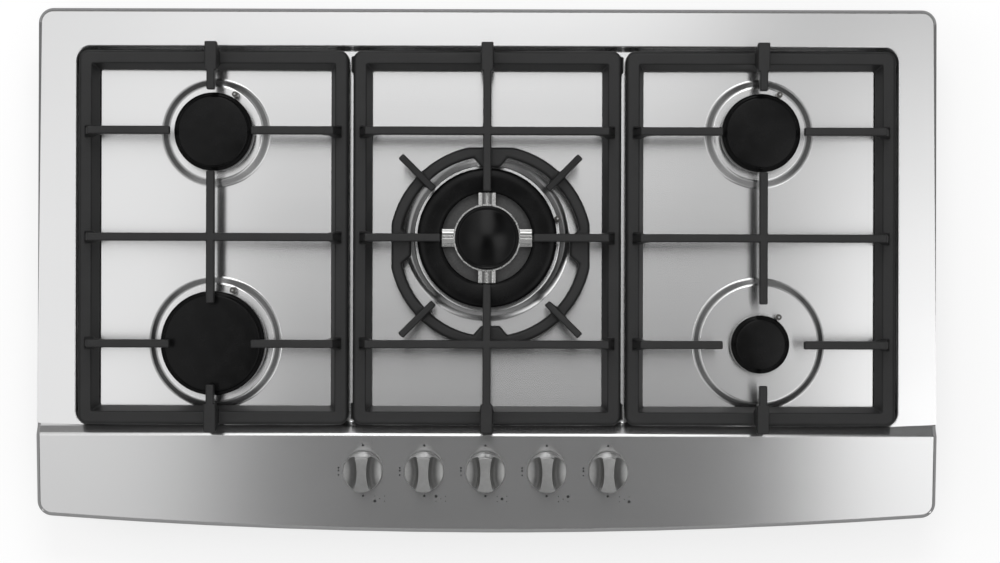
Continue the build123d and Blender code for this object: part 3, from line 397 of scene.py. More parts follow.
class MaterialBoard(NodeBoard):
    """The board of one material, with a principled shader."""

    def __init__(self, name: str) -> None:
        """Starts a material with an empty board, a principled shader and its output."""
        self.material = bpy.data.materials.new(name)
        self.material.use_nodes = True
        super().__init__(self.material.node_tree)
        self.shader = self.node("ShaderNodeBsdfPrincipled")
        self.output = self.node("ShaderNodeOutputMaterial", surface=self.shader.outputs[0])

    def noise(self, scale: float | Place, detail: float, rough: float = 0.55) -> Socket:
        """A noise value on object coordinates.

        Args:
            scale: Pattern units per metre, the same along each axis or one by one.
            detail: How many finer layers it has.
            rough: How strong the finer layers are.

        Returns:
            The noise's value, about 0.5.
        """
        axes = scale if isinstance(scale, tuple) else (scale,) * 3
        coords = self.node("ShaderNodeTexCoord").outputs["Object"]
        place = self.node("ShaderNodeMapping", vector=coords, scale=axes).outputs["Vector"]
        node = self.node(
            "ShaderNodeTexNoise", vector=place, scale=1.0, detail=detail, roughness=rough
        )
        return node.outputs["Fac"]

    def ramp(self, value: Socket, *stops: tuple[float, Colour]) -> Socket:
        """A colour ramp that reads a value, with two (place, colour) stops."""
        node = self.node("ShaderNodeValToRGB", value)
        for element, (place, colour) in zip(node.color_ramp.elements, stops):
            element.position = place
            element.color = (*colour, 1.0)
        return node.outputs["Color"]

    def span(self, value: Socket, low: float, high: float, spread: float = 0.25) -> Socket:
        """Maps a noise value about 0.5 onto a range.

        Args:
            value: The noise.
            low: What the range starts at.
            high: What it ends at.
            spread: How far from 0.5 the noise reaches.

        Returns:
            The mapped value.
        """
        ends = (0.5 - spread, 0.5 + spread, low, high)
        return self.node("ShaderNodeMapRange", value, *ends).outputs["Result"]

    def bump(self, height: Socket, strength: float, depth: float) -> Socket:
        """A bumped normal.

        Args:
            height: The height value.
            strength: How strongly it shows.
            depth: The depth of a full step.

        Returns:
            The normal.
        """
        node = self.node("ShaderNodeBump", strength=strength, distance=depth * MM, height=height)
        return node.outputs["Normal"]

    def dress(self, **values: Filling) -> Material:
        """Fills the shader's own sockets by name, and returns the material."""
        self.fill_named(self.shader, **values)
        return self.material


def grey(level: float) -> Colour:
    """A neutral colour."""
    return (level, level, level)


@dataclass(frozen=True)
class BrushedSteel:
    """Stainless sheet brushed from side to side, with faint long lines and a little cloudiness."""

    name: str = "brushed_stainless"
    light: Colour = grey(0.86)
    dark: Colour = (0.835, 0.835, 0.84)
    roughness: tuple[float, float] = (0.198, 0.218)
    fine_lines: Place = (18.0, 2600.0, 2600.0)
    long_lines: Place = (4.0, 420.0, 420.0)
    cloud: float = 7.0
    grain: Place = (0.0, 1.0, 0.0)
    anisotropy: float = 0.9
    bump: float = 0.005
    depth: float = 0.03

    def material(self) -> Material:
        """Builds the material and returns it."""
        board = MaterialBoard(self.name)
        fine = board.noise(self.fine_lines, 2.0, rough=0.6)
        long = board.noise(self.long_lines, 3.0, rough=0.65)
        lines = board.blend(0.45, fine, long)
        cloud = board.noise(self.cloud, 4.0)
        return board.dress(
            base_color=board.ramp(lines, (0.30, self.dark), (0.66, self.light)),
            roughness=board.span(board.blend(0.4, lines, cloud), *self.roughness, spread=0.22),
            metallic=1.0,
            anisotropic=self.anisotropy,
            tangent=board.node("ShaderNodeCombineXYZ", *self.grain).outputs["Vector"],
            normal=board.bump(lines, self.bump, self.depth),
        )


@dataclass(frozen=True)
class CastEnamel:
    """Matt black enamel over cast iron: a fine sandy grain and slightly worn high spots."""

    name: str = "matt_enamelled_iron"
    base: Colour = (0.014, 0.014, 0.0142)
    high: Colour = (0.026, 0.026, 0.0263)
    roughness: tuple[float, float] = (0.40, 0.52)
    grain: float = 900.0
    patches: float = 45.0
    bump: float = 0.35
    depth: float = 0.18

    def material(self) -> Material:
        """Builds the material and returns it."""
        board = MaterialBoard(self.name)
        grain = board.noise(self.grain, 3.0, rough=0.6)
        patches = board.noise(self.patches, 4.0)
        mixed = board.blend(0.4, grain, patches)
        return board.dress(
            base_color=board.ramp(mixed, (0.32, self.base), (0.70, self.high)),
            roughness=board.span(mixed, *self.roughness),
            normal=board.bump(board.blend(0.25, grain, patches), self.bump, self.depth),
        )


@dataclass(frozen=True)
class CapEnamel:
    """Near black satin enamel of the burner caps, with a faint orange peel."""

    name: str = "satin_enamelled_cap"
    base: Colour = (0.0025, 0.0025, 0.0026)
    high: Colour = (0.0055, 0.0055, 0.0057)
    roughness: tuple[float, float] = (0.20, 0.28)
    gleam: float = 0.18
    peel: float = 420.0
    haze: float = 60.0
    bump: float = 0.12
    depth: float = 0.08

    def material(self) -> Material:
        """Builds the material and returns it."""
        board = MaterialBoard(self.name)
        peel, haze = board.noise(self.peel, 2.0), board.noise(self.haze, 5.0)
        return board.dress(
            base_color=board.ramp(haze, (0.35, self.base), (0.65, self.high)),
            roughness=board.span(board.blend(0.6, peel, haze), *self.roughness),
            specular_ior_level=self.gleam,
            normal=board.bump(peel, self.bump, self.depth),
        )


@dataclass(frozen=True)
class PlainMetal:
    """A cast, drawn or plated metal: a colour, its variation, its gloss and its grain."""

    name: str
    light: Colour
    dark: Colour
    roughness: tuple[float, float]
    grain: float = 500.0
    bump: float = 0.15
    depth: float = 0.08
    haze: float = 35.0
    metallic: float = 1.0
    coat: float = 0.0

    def material(self) -> Material:
        """Builds the material and returns it."""
        board = MaterialBoard(self.name)
        grain, haze = board.noise(self.grain, 3.0), board.noise(self.haze, 4.0)
        mixed = board.blend(0.5, grain, haze)
        return board.dress(
            base_color=board.ramp(mixed, (0.34, self.dark), (0.66, self.light)),
            roughness=board.span(mixed, *self.roughness),
            metallic=self.metallic,
            coat_weight=self.coat,
            normal=board.bump(grain, self.bump, self.depth),
        )


@dataclass(frozen=True)
class PlainSkin(PlainMetal):
    """Rubber, foam, plastic, ceramic or printed ink, made as the plain metals are."""

    grain: float = 600.0
    bump: float = 0.2
    depth: float = 0.1
    haze: float = 40.0
    metallic: float = 0.0


class Finish(Enum):
    """Every finish of the cooktop."""

    STAINLESS = BrushedSteel()
    IRON = CastEnamel()
    CAP = CapEnamel()
    GLOSSY_CAP = CapEnamel("glossy_enamelled_cap", roughness=(0.15, 0.20), gleam=0.22)
    BURNER = PlainMetal("burner_casting", grey(0.56), grey(0.36), (0.38, 0.52))
    # painted shade: a darker grey casting for the wok burner's base, which lies in shade down
    # between the bridges
    SOOTED = PlainMetal("painted_shade_casting", grey(0.20), grey(0.12), (0.42, 0.58))
    CASTING = PlainMetal("cup_casting", grey(0.66), grey(0.5), (0.45, 0.6))
    PIPE = PlainMetal("drawn_pipe", (0.8, 0.8, 0.81), (0.7, 0.7, 0.71), (0.25, 0.4))
    ZINC = PlainMetal(
        "zinc_sheet", (0.66, 0.68, 0.70), (0.5, 0.52, 0.54), (0.38, 0.55), 90.0, 0.05
    )
    SCREW = PlainMetal("plain_steel", grey(0.62), grey(0.5), (0.3, 0.42))
    CHROME = PlainMetal(
        "bright_casting", (0.82, 0.82, 0.81), (0.66, 0.66, 0.65), (0.16, 0.28), bump=0.06
    )
    KNOB = PlainMetal(
        "satin_plating", (0.56, 0.56, 0.555), (0.48, 0.48, 0.475), (0.30, 0.38), 300.0, 0.03
    )
    BRASS = PlainMetal("turned_brass", (0.80, 0.64, 0.34), (0.66, 0.5, 0.25), (0.26, 0.4))
    # painted shade: the spark electrodes' ceramic gets a dark grey in place of white, so that the
    # electrodes look as dark as they do in their own shade
    CERAMIC = PlainSkin(
        "dark_ceramic", (0.12, 0.115, 0.105), (0.07, 0.067, 0.062), (0.2, 0.35), coat=0.3
    )
    RUBBER = PlainSkin("black_rubber", grey(0.035), grey(0.02), (0.6, 0.8))
    FOAM = PlainSkin("seal_foam", grey(0.06), grey(0.03), (0.85, 0.98), 1500.0, 0.6, 0.3)
    PLASTIC = PlainSkin("black_moulding", grey(0.05), grey(0.035), (0.4, 0.55))
    SILICONE = PlainSkin("silicone_sleeve", (0.78, 0.77, 0.74), (0.7, 0.69, 0.66), (0.45, 0.6))
    INK = PlainSkin("printed_ink", (0.03, 0.03, 0.032), (0.02, 0.02, 0.022), (0.4, 0.5), bump=0.0)


class Paintshop:
    """Builds each finish once and hands it out."""

    SLOTS = {
        "stainless": Finish.STAINLESS,
        "zinc_steel": Finish.ZINC,
        "screw_steel": Finish.SCREW,
        "cast_iron": Finish.IRON,
        "black_enamel": Finish.CAP,
        "burner_aluminium": Finish.BURNER,
        "cast_aluminium": Finish.CASTING,
        "pipe_aluminium": Finish.PIPE,
        "chrome_rim": Finish.CHROME,
        "satin_knob": Finish.KNOB,
        "brass": Finish.BRASS,
        "spark_ceramic": Finish.CERAMIC,
        "black_rubber": Finish.RUBBER,
        "seal_foam": Finish.FOAM,
        "black_plastic": Finish.PLASTIC,
        "lead_silicone": Finish.SILICONE,
    }

    # CAD nodes that take the darker grey casting: painted shade for the wok burner's base, in the
    # shade between the bridges
    PAINTED_SHADE_NODES = ("wok_burner_head", "wok_port_ring")

    def __init__(self) -> None:
        """Starts with no finish built."""
        self.built: dict[Finish, Material] = {}

    def get(self, finish: Finish) -> Material:
        """The material of a finish, built at its first use."""
        if finish not in self.built:
            self.built[finish] = finish.value.material()
        return self.built[finish]

    def dress_nodes(self) -> None:
        """Gives every CAD node the finish of its material slot; the wok burner's base gets a
        darker grey instead, as painted shade.
        """
        for part in frame["record"]["subparts"]:
            node = frame["nodes"][part["node"]]
            node.data.materials.clear()
            # the wok burner's base gets the darker grey, painted shade, in place of its slot's
            # finish
            in_painted_shade = part["node"] in self.PAINTED_SHADE_NODES
            finish = Finish.SOOTED if in_painted_shade else self.SLOTS[part["material_slot"]]
            node.data.materials.append(self.get(finish))
        log.info("%d CAD nodes dressed", len(frame["nodes"]))


# ---- plate
def wok_radius(spot: Vector) -> float:
    """How far a point lies from the wok burner's axis."""
    return math.hypot(spot.x, spot.y - CENTRE_Y)


def panel_z(y: float) -> float:
    """The height of the control panel's face at y."""
    return RIDGE_Z - (RIDGE_Y - y) * math.tan(PANEL_TILT)


@dataclass
class PressedPlate:
    """The stainless plate with its soft bends, and the marks printed on its panel."""

    shop: Paintshop
    bend: float = 2.0
    rise_bend: float = 1.5
    wok_bend: float = 1.0
    wok_foot_bend: float = 3.6
    wok_foot_r: float = 76.5
    wok_rise_r: float = 84.0
    wok_spark: Point = (70.1, 52.2)
    spark_clearance: float = 6.0
    edge_round: float = 3.9
    inner_round: float = 2.7
    edge_profile: float = 0.29
    outer_gap: float = 0.45
    inner_gap: Point = (0.55, 1.6)
    border_width: float = 2.0
    border_degrees: float = 45.0
    bend_degrees: float = 24.0
    corner: float = 15.0
    bow: float = 17.0
    rise_margin: float = 10.0
    skin_low: float = 57.2
    ink: float = 0.05
    ink_sunk: float = 0.02
    dot_steps: int = 20

    # places from the knob's middle, and the radius
    KNOB_DOTS = (
        (0.0, 25.2, 1.15), (0.0, -25.6, 1.15),
        (-24.5, 2.6, 0.95), (-24.5, -0.2, 0.95), (-24.5, -4.6, 0.8),
    )
    BURNER_DOTS = ((11.8, -31.0), (11.8, -26.0), (16.6, -28.5), (21.4, -26.0), (21.4, -31.0))
    OWN_DOT_R = 1.45
    OTHER_DOT_R = 0.5

    def build(self) -> None:
        """Builds the plate and its marks."""
        plate = copy_of("top_plate", "plate")
        round_over(plate, self.wok_bend, self.is_wok_rise, 3)
        round_over(plate, self.wok_foot_bend, self.is_wok_foot, 6)
        round_over(plate, self.rise_bend, self.is_rise, 5)
        round_over(plate, self.bend, self.is_bend, 4)
        self.trim_sides(plate)
        round_over(plate, self.edge_round, self.is_outer_border, 6, self.edge_profile)
        round_over(plate, self.inner_round, self.is_inner_border, 6, self.edge_profile)
        steel = self.shop.get(Finish.STAINLESS)
        settle(plate, PLATE_BODY, steel, ("top_plate",), smooth=24.0)
        self.print_marks()

    def trim_sides(self, plate: Piece) -> None:
        """Brings the ends of the ridge's bends back to the plate's sides."""
        half = CAD_BOX[1][0]
        for vertex in plate.data.vertices:
            vertex.co.x = max(-half, min(half, vertex.co.x))

    def border_gap(self, spot: Vector) -> float:
        """How far a point lies inside the plate's outline."""
        half, rear, _ = Vector(CAD_BOX[1]) / MM
        side = half - abs(spot.x)
        front = spot.y + rear - self.bow * (spot.x / half) ** 2
        end = min(rear - spot.y, front)
        if max(side, end) < self.corner:
            return self.corner - math.hypot(self.corner - side, self.corner - end)
        return min(side, end)

    def is_border(self, edge: Edge) -> bool:
        """Whether an edge joins a nearly level face to an upright wall, above the folded edge."""
        if not is_corner(edge, self.border_degrees) or middle(edge).z < self.skin_low:
            return False
        levels = sorted(abs(face.normal.z) for face in edge.link_faces)
        return levels[0] < 0.3 and levels[1] > 0.7

    def is_outer_border(self, edge: Edge) -> bool:
        """Whether an edge is the plate's outer edge, on its face."""
        return self.is_border(edge) and self.border_gap(middle(edge)) < self.outer_gap

    def is_inner_border(self, edge: Edge) -> bool:
        """Whether an edge is the plate's outer edge, on its underside."""
        low, high = self.inner_gap
        return self.is_border(edge) and low < self.border_gap(middle(edge)) < high

    def is_wok_rise(self, edge: Edge) -> bool:
        """Whether an edge is the upper bend of the rise about the wok burner."""
        return wok_radius(middle(edge)) < self.wok_foot_r and self.is_bend(edge)

    def is_wok_foot(self, edge: Edge) -> bool:
        """Whether an edge is the foot of the rise about the wok burner."""
        radius = wok_radius(middle(edge))
        return self.wok_foot_r < radius < self.wok_rise_r and self.is_bend(edge)

    def is_rise(self, edge: Edge) -> bool:
        """Whether an edge is one of the bends of the rises about the single burners."""
        spot, margin = middle(edge), self.rise_margin
        if wok_radius(spot) < self.wok_rise_r or abs(spot.x) >= RECESS_HALF_X - margin:
            return False
        inside = RECESS_FRONT_Y + margin < spot.y < RECESS_REAR_Y - margin
        return inside and self.is_bend(edge)

    def is_bend(self, edge: Edge) -> bool:
        """Whether an edge is one of the bends on the plate's upper face."""
        if not is_corner(edge, self.bend_degrees):
            return False
        spot = middle(edge)
        x, y = self.wok_spark
        if math.hypot(spot.x - x, spot.y - y) < self.spark_clearance:
            return False
        if any(face.normal.z < -0.01 for face in edge.link_faces):
            return False
        at_border = self.border_gap(spot) < self.border_width and self.is_border(edge)
        return spot.z > self.skin_low and not at_border and not self.is_hole(edge)

    def is_hole(self, edge: Edge) -> bool:
        """Whether an edge is a hole's rim, where a level face meets an upright wall."""
        level = any(face.normal.z > 0.9 for face in edge.link_faces)
        wall = any(abs(face.normal.z) < 0.1 for face in edge.link_faces)
        return level and wall and self.border_gap(middle(edge)) > self.border_width

    def print_marks(self) -> None:
        """Prints each knob's marks: off dot, flame sizes, low dot, and a plan of the burners."""
        dots: list[Piece] = []
        for name, x in zip(TAP_NAMES, KNOB_XS):
            for dx, dy, radius in self.KNOB_DOTS:
                dots.append(self.dot(x + dx, KNOB_Y + dy, radius))
            for place, (dx, dy) in zip(TAP_NAMES, self.BURNER_DOTS):
                radius = self.OWN_DOT_R if place == name else self.OTHER_DOT_R
                dots.append(self.dot(x + dx, KNOB_Y + dy, radius))
        marks = join("panel_marks", dots)
        settle(marks, PLATE_BODY, self.shop.get(Finish.INK))

    def dot(self, x: float, y: float, radius: float) -> Piece:
        """One printed dot on the panel, as thick as its ink.

        Args:
            x: Its place from side to side.
            y: Its place from front to rear.
            radius: Its radius.

        Returns:
            The dot's mesh.
        """
        bpy.ops.mesh.primitive_circle_add(
            vertices=self.dot_steps,
            radius=radius * MM,
            fill_type="NGON",
            location=Vector((x, y, panel_z(y) - self.ink_sunk)) * MM,
            rotation=(PANEL_TILT, 0, 0),
        )
        dot = bpy.context.object
        with editing(dot):
            select_whole()
            bpy.ops.mesh.extrude_region_move(
                TRANSFORM_OT_translate={"value": (0, 0, (self.ink + self.ink_sunk) * MM)}
            )
            select_whole()
            bpy.ops.mesh.normals_make_consistent(inside=False)
        return dot


# ---- pan supports
@dataclass
class PanSupport:
    """One cast pan support with softly rounded arrises, on its four rubber feet."""

    shop: Paintshop
    side: str
    arris: float = 1.3

    def build(self) -> None:
        """Builds the casting."""
        node = f"{self.side}_grate"
        casting = copy_of(node, f"{self.side}_pan_support")
        round_over(casting, self.arris, is_corner, 3)
        settle(casting, node, self.shop.get(Finish.IRON), (node,), smooth=40.0)


@dataclass
class WokRing:
    """The loose ring that lifts a round wok over the middle burner."""

    shop: Paintshop
    arris: float = 1.5
    crown: float = 3.4
    ring_top: float = 89.0
    centre: Point = (3.5, 24.2)
    partings: tuple[float, ...] = (22.5, 67.5, 112.5, 157.5)

    def is_crown(self, edge: Edge) -> bool:
        """Whether an edge goes round the ring's upper face."""
        level = all(abs(vertex.co.z / MM - self.ring_top) < 0.1 for vertex in edge.verts)
        return is_corner(edge, 60.0) and level

    def build(self) -> None:
        """Builds the ring, in eight sectors so that its flat faces have no hole in them."""
        ring = copy_of("wok_ring", "wok_stand")
        axis = Vector((*self.centre, 0)) * MM
        with editing(ring):
            for degrees in self.partings:
                turn = math.radians(degrees)
                select_whole()
                across = (-math.sin(turn), math.cos(turn), 0)
                bpy.ops.mesh.bisect(plane_co=axis, plane_no=across)
        round_over(ring, self.crown, self.is_crown, 4)
        round_over(ring, self.arris, lambda edge: is_corner(edge, 50.0), 3)
        iron = self.shop.get(Finish.IRON)
        settle(ring, "wok_ring", iron, ("wok_ring",), smooth=40.0)


# ---- burners
@dataclass
class SingleBurner:
    """One single-ring burner: the cast flame ring and the enamelled cap on it."""

    shop: Paintshop
    name: str
    x: float
    y: float
    cap_r: float
    cap_top: float
    arris: float = 0.35
    cap_height: float = 9.0
    spigot_inset: float = 8.8
    spigot_depth: float = 3.0
    dome: float = 0.1
    steps: int = 128

    # the rim's outline, from the cap's radius and underside
    CAP_RIM = (
        (-1.2, 0.0), (0.0, 1.2), (0.0, 3.0), (-0.6, 4.2), (-1.8, 5.0),
        (-3.2, 5.3), (-3.5, 7.2), (-4.2, 8.2), (-5.6, 8.6),
    )

    def build(self) -> None:
        """Builds the head and the cap."""
        node = f"{self.name}_head"
        head = copy_of(node, f"{self.name}_flame_ring")
        round_over(head, self.arris, is_corner, 2)
        settle(head, node, self.shop.get(Finish.BURNER), (node,))
        self.build_cap()

    def build_cap(self) -> None:
        """Turns the cap: a rounded rim, a step, and a slightly domed disc."""
        base = self.cap_top - self.cap_height
        spigot, foot = self.cap_r - self.spigot_inset, base - self.spigot_depth
        profile = [(0.0, foot), (spigot, foot), (spigot, base)]
        profile += [(self.cap_r + dr, base + dz) for dr, dz in self.CAP_RIM]
        profile += [(self.cap_r / 2, self.cap_top - self.dome), (0.0, self.cap_top)]
        cap = turned(f"{self.name}_cap_top", profile, (self.x, self.y), self.steps)
        soften(cap, self.arris, 2)
        node = f"{self.name}_cap"
        settle(cap, node, self.shop.get(Finish.CAP), (node,), smooth=38.0)


@dataclass
class WokBurner:
    """The middle burner's outer cap, bright inner ring with four bridges, and inner cap."""

    shop: Paintshop
    centre: Point = (0.0, CENTRE_Y)
    steps: int = 144
    arris: float = 0.4
    ring_arris: float = 0.3
    inner_ports: int = 20
    port_place: Point = (31.0, 92.0)
    port_size: Place = (10.0, 1.6, 8.0)
    bridge_place: Point = (37.4, 86.5)
    bridge_size: Place = (15.2, 18.0, 7.0)
    bridge_cuts: tuple[float, ...] = (-5.2, -1.7, 1.7, 5.2)
    bridge_arris: float = 0.9
    slot_half: float = 1.6
    slot_depth: float = 5.0
    shoulder_from: float = 5.3
    shoulder_drop: float = 2.2

    # outlines, as (radius, height) points
    RING = (
        (19, 50), (22, 50), (22, 70), (33, 70), (33, 84),
        (33.6, 86), (33.2, 92), (28, 92), (28, 78), (19, 78),
    )
    OUTER_CAP = (
        (46, 82), (52.3, 82), (52.3, 80.5), (59.7, 80.5), (59.7, 82),
        (68.2, 82), (69.2, 83), (69.2, 85.2), (67.6, 87), (65.8, 87.9),
        (60, 88), (49, 87.6), (46.4, 86.8), (45, 85.4), (45, 83),
    )
    INNER_CAP = (
        (0, 89), (27.6, 89), (27.6, 92), (31, 92), (31.8, 93), (31.4, 94.8),
        (30, 95.4), (28.6, 95.0), (28.0, 94.2), (27.0, 94.4), (24, 95.2),
        (20, 96.1), (15, 96.9), (10, 97.5), (5, 97.9), (0, 98),
    )

    def build(self) -> None:
        """Builds the wok burner's pieces."""
        self.build_inner_ring()
        self.build_cap("wok_annular_cap", self.OUTER_CAP, "wok_outer_cap", Finish.CAP)
        self.build_cap("wok_middle_cap", self.INNER_CAP, "wok_inner_cap", Finish.GLOSSY_CAP)

    def build_inner_ring(self) -> None:
        """Turns the bright inner ring, cuts its flame ports, and sets four bridges on it."""
        ring = turned("wok_inner_ring", self.RING, self.centre, self.steps)
        cutters = [self.port_cutter(turn) for turn in range(self.inner_ports)]
        cut_away(ring, join("port_cutters", cutters))
        soften(ring, self.ring_arris, 2)
        bridges = [self.bridge(90.0 * turn) for turn in range(4)]
        ring = join("wok_inner_ring", [ring] + bridges)
        chrome = self.shop.get(Finish.CHROME)
        settle(ring, "wok_inner_head", chrome, ("wok_inner_head",))

    def port_cutter(self, turn: int) -> Piece:
        """One block that cuts a flame port out of the inner ring's wall."""
        angle = 2 * math.pi * (turn + 0.5) / self.inner_ports
        (x, y), (radius, z) = self.centre, self.port_place
        place = (x + radius * math.cos(angle), y + radius * math.sin(angle), z)
        bpy.ops.mesh.primitive_cube_add(
            size=MM, location=Vector(place) * MM, rotation=(0, 0, angle), scale=self.port_size
        )
        return bpy.context.object

    def bridge(self, degrees: float) -> Piece:
        """One bridge: a block with a slot along its middle and a rounded ridge on each side of it.

        Args:
            degrees: Where it stands about the burner's axis.

        Returns:
            The bridge, at its place.
        """
        radius, height = self.bridge_place
        bpy.ops.mesh.primitive_cube_add(
            size=MM, location=(radius * MM, 0, height * MM), scale=self.bridge_size
        )
        block = bpy.context.object
        apply_place(block)
        for across in self.bridge_cuts:
            with editing(block):
                select_whole()
                bpy.ops.mesh.bisect(plane_co=(0, across * MM, 0), plane_no=(0, 1, 0))
        with editing(block):
            pick_faces(block, lambda face, at: face.normal.z > 0.9 and abs(at.y) < self.slot_half)
            bpy.ops.mesh.extrude_region_move(
                TRANSFORM_OT_translate={"value": (0, 0, -self.slot_depth * MM)}
            )
        outer = self.shoulder_from
        with editing(block):
            pick_faces(block, lambda face, at: face.normal.z > 0.9 and abs(at.y) > outer)
            bpy.ops.transform.translate(value=(0, 0, -self.shoulder_drop * MM))
        soften(block, self.bridge_arris, 3)
        block.rotation_euler = (0, 0, math.radians(degrees))
        block.location = Vector((*self.centre, 0)) * MM
        apply_place(block)
        return block

    def build_cap(self, name: str, profile: Sequence[Point], node: str, finish: Finish) -> None:
        """Turns one of the two caps.

        Args:
            name: The cap's name.
            profile: Its outline, as (radius, height) points.
            node: The CAD node it stands for, and the body it rides on.
            finish: Its finish.
        """
        cap = turned(name, profile, self.centre, self.steps)
        soften(cap, self.arris, 2)
        settle(cap, node, self.shop.get(finish), (node,), 38.0)


# ---- knobs
@dataclass
class KnobRow:
    """The five control knobs: a skirt, and a grip left standing between two soft scoops."""

    shop: Paintshop
    skirt_r: float = 19.6
    skirt_low: float = 4.2
    skirt_top: float = 8.5
    top: float = 26.0
    top_r: float = 17.8
    bore_r: float = 4.05
    bore_top: float = 19.1
    scoop_centre: float = 61.6
    scoop_r: float = 56.9
    scoop_root: float = 13.5
    scoop_sunk: float = 0.2
    scoop_over: float = 4.0
    waist_y: float = 2.0
    arris: float = 0.9
    steps: int = 128
    scoop_steps: int = 256

    def build(self) -> None:
        """Models one knob and sets a copy of it on each tap."""
        master = self.knob()
        for name, x in zip(TAP_NAMES, KNOB_XS):
            knob = master.copy()
            knob.data = master.data.copy()
            knob.name = f"{name}_control_knob"
            bpy.context.collection.objects.link(knob)
            knob.rotation_euler = (PANEL_TILT, 0, 0)
            knob.location = Vector((x, KNOB_Y, panel_z(KNOB_Y))) * MM
            node = f"{name}_knob"
            settle(knob, node, self.shop.get(Finish.KNOB), (node,), smooth=40.0)
        bpy.data.objects.remove(master)

    def knob(self) -> Piece:
        """Turns the knob's body and cuts the scoops into its sides."""
        r, low, top, top_r = self.skirt_r, self.skirt_top, self.top, self.top_r
        profile = [
            (0, self.bore_top),
            (self.bore_r, self.bore_top),
            (self.bore_r, self.skirt_low),
            (r - 0.5, self.skirt_low),
            (r, self.skirt_low + 0.5),
            (r, low - 1.2), (r - 0.4, low - 0.4), (r - 0.7, low + 0.4),
            (top_r, top - 1.2), (top_r - 0.4, top - 0.4), (top_r - 1.2, top),
            (0, top),
        ]
        body = turned("knob_body", profile, (0.0, 0.0), self.steps)
        for side in (-1, 1):
            place = (side * self.scoop_centre, self.waist_y)
            cut_away(body, turned("scoop", self.scoop_profile(), place, self.scoop_steps))
        soften(body, self.arris, 3, 30.0)
        return body

    def scoop_profile(self) -> list[Point]:
        """The outline of a scoop's cutter: a level floor, a round root and an upright wall."""
        floor, root, wall = self.skirt_top - self.scoop_sunk, self.scoop_root, self.scoop_r
        above = self.top + self.scoop_over
        arc: list[Point] = []
        for degrees in range(0, 91, 15):
            turn = math.radians(degrees)
            arc.append((wall - root + root * math.sin(turn), floor + root - root * math.cos(turn)))
        return [(0.0, floor), *arc, (wall, above), (0.0, above)]


# ---- studio
@dataclass(frozen=True)
class Lamp:
    """One soft lamp of the studio, in metres and watts."""

    name: str
    place: Place
    size: Point
    power: float


class Zone(Enum):
    """Where each part of the mirrored room starts and where it is whole.

    The ceiling's parts are measured on a level plane one unit overhead, the strip's edge in
    shares of its own half width, the walls by how far they turn to the rear, and the
    ceiling's foot by its height on a unit sphere.
    """

    STRIP_EDGE = (1.24, 0.76)
    STRIP_FRONT = (-0.95, -0.65)
    STRIP_REAR = (0.15, 0.03)
    RIGHT_CORNER_ALONG = (0.02, 0.14)
    RIGHT_CORNER_ACROSS = (0.08, 0.17)
    LEFT_CORNER_ALONG = (-0.02, 0.20)
    LEFT_CORNER_ACROSS = (-0.08, -0.20)
    REAR_ALONG = (0.06, 0.26)
    REAR_ACROSS = (0.19, 0.10)
    FRONT_ALONG = (-0.10, -0.24)
    LEFT_FRONT_ACROSS = (-0.05, -0.20)
    RIGHT_FRONT_ACROSS = (0.13, 0.20)
    RIGHT_ACROSS = (0.10, 0.19)
    BESIDE = (0.27, 0.44)
    BEFORE = (-0.40, -0.60)
    REAR_WALL = (0.60, 0.90)
    FRONT_WALL = (-0.60, -0.90)
    CEILING_FOOT = (0.50, 0.66)


class WorldBoard(NodeBoard):
    """The board of the studio's world, with the arithmetic of its mirrored room."""

    def __init__(self, name: str) -> None:
        """Makes the scene's world, its board, and a ray's direction to the right, rear and top."""
        world = bpy.data.worlds.new(name)
        bpy.context.scene.world = world
        world.use_nodes = True
        super().__init__(world.node_tree)
        ray = self.node("ShaderNodeTexCoord").outputs["Generated"]
        self.x, self.y, self.z = self.node("ShaderNodeSeparateXYZ", ray).outputs

    def maths(self, operation: str, *values: Level) -> Socket:
        """What an operation makes of one, two or three values."""
        node = self.node("ShaderNodeMath", *values)
        node.operation = operation
        return node.outputs[0]

    def times(self, first: Socket, second: Socket) -> Socket:
        """The product of two values."""
        return self.maths("MULTIPLY", first, second)

    def band(self, source: Socket, zone: Zone) -> Socket:
        """A smooth step of a value, from 0 where a zone starts to 1 where it is whole."""
        step = self.node("ShaderNodeMapRange", source, *zone.value)
        step.interpolation_type = "SMOOTHSTEP"
        return step.outputs["Result"]

    def background(self, strength: Level) -> Socket:
        """White light of a given strength."""
        return self.node("ShaderNodeBackground", grey(1.0), strength).outputs[0]


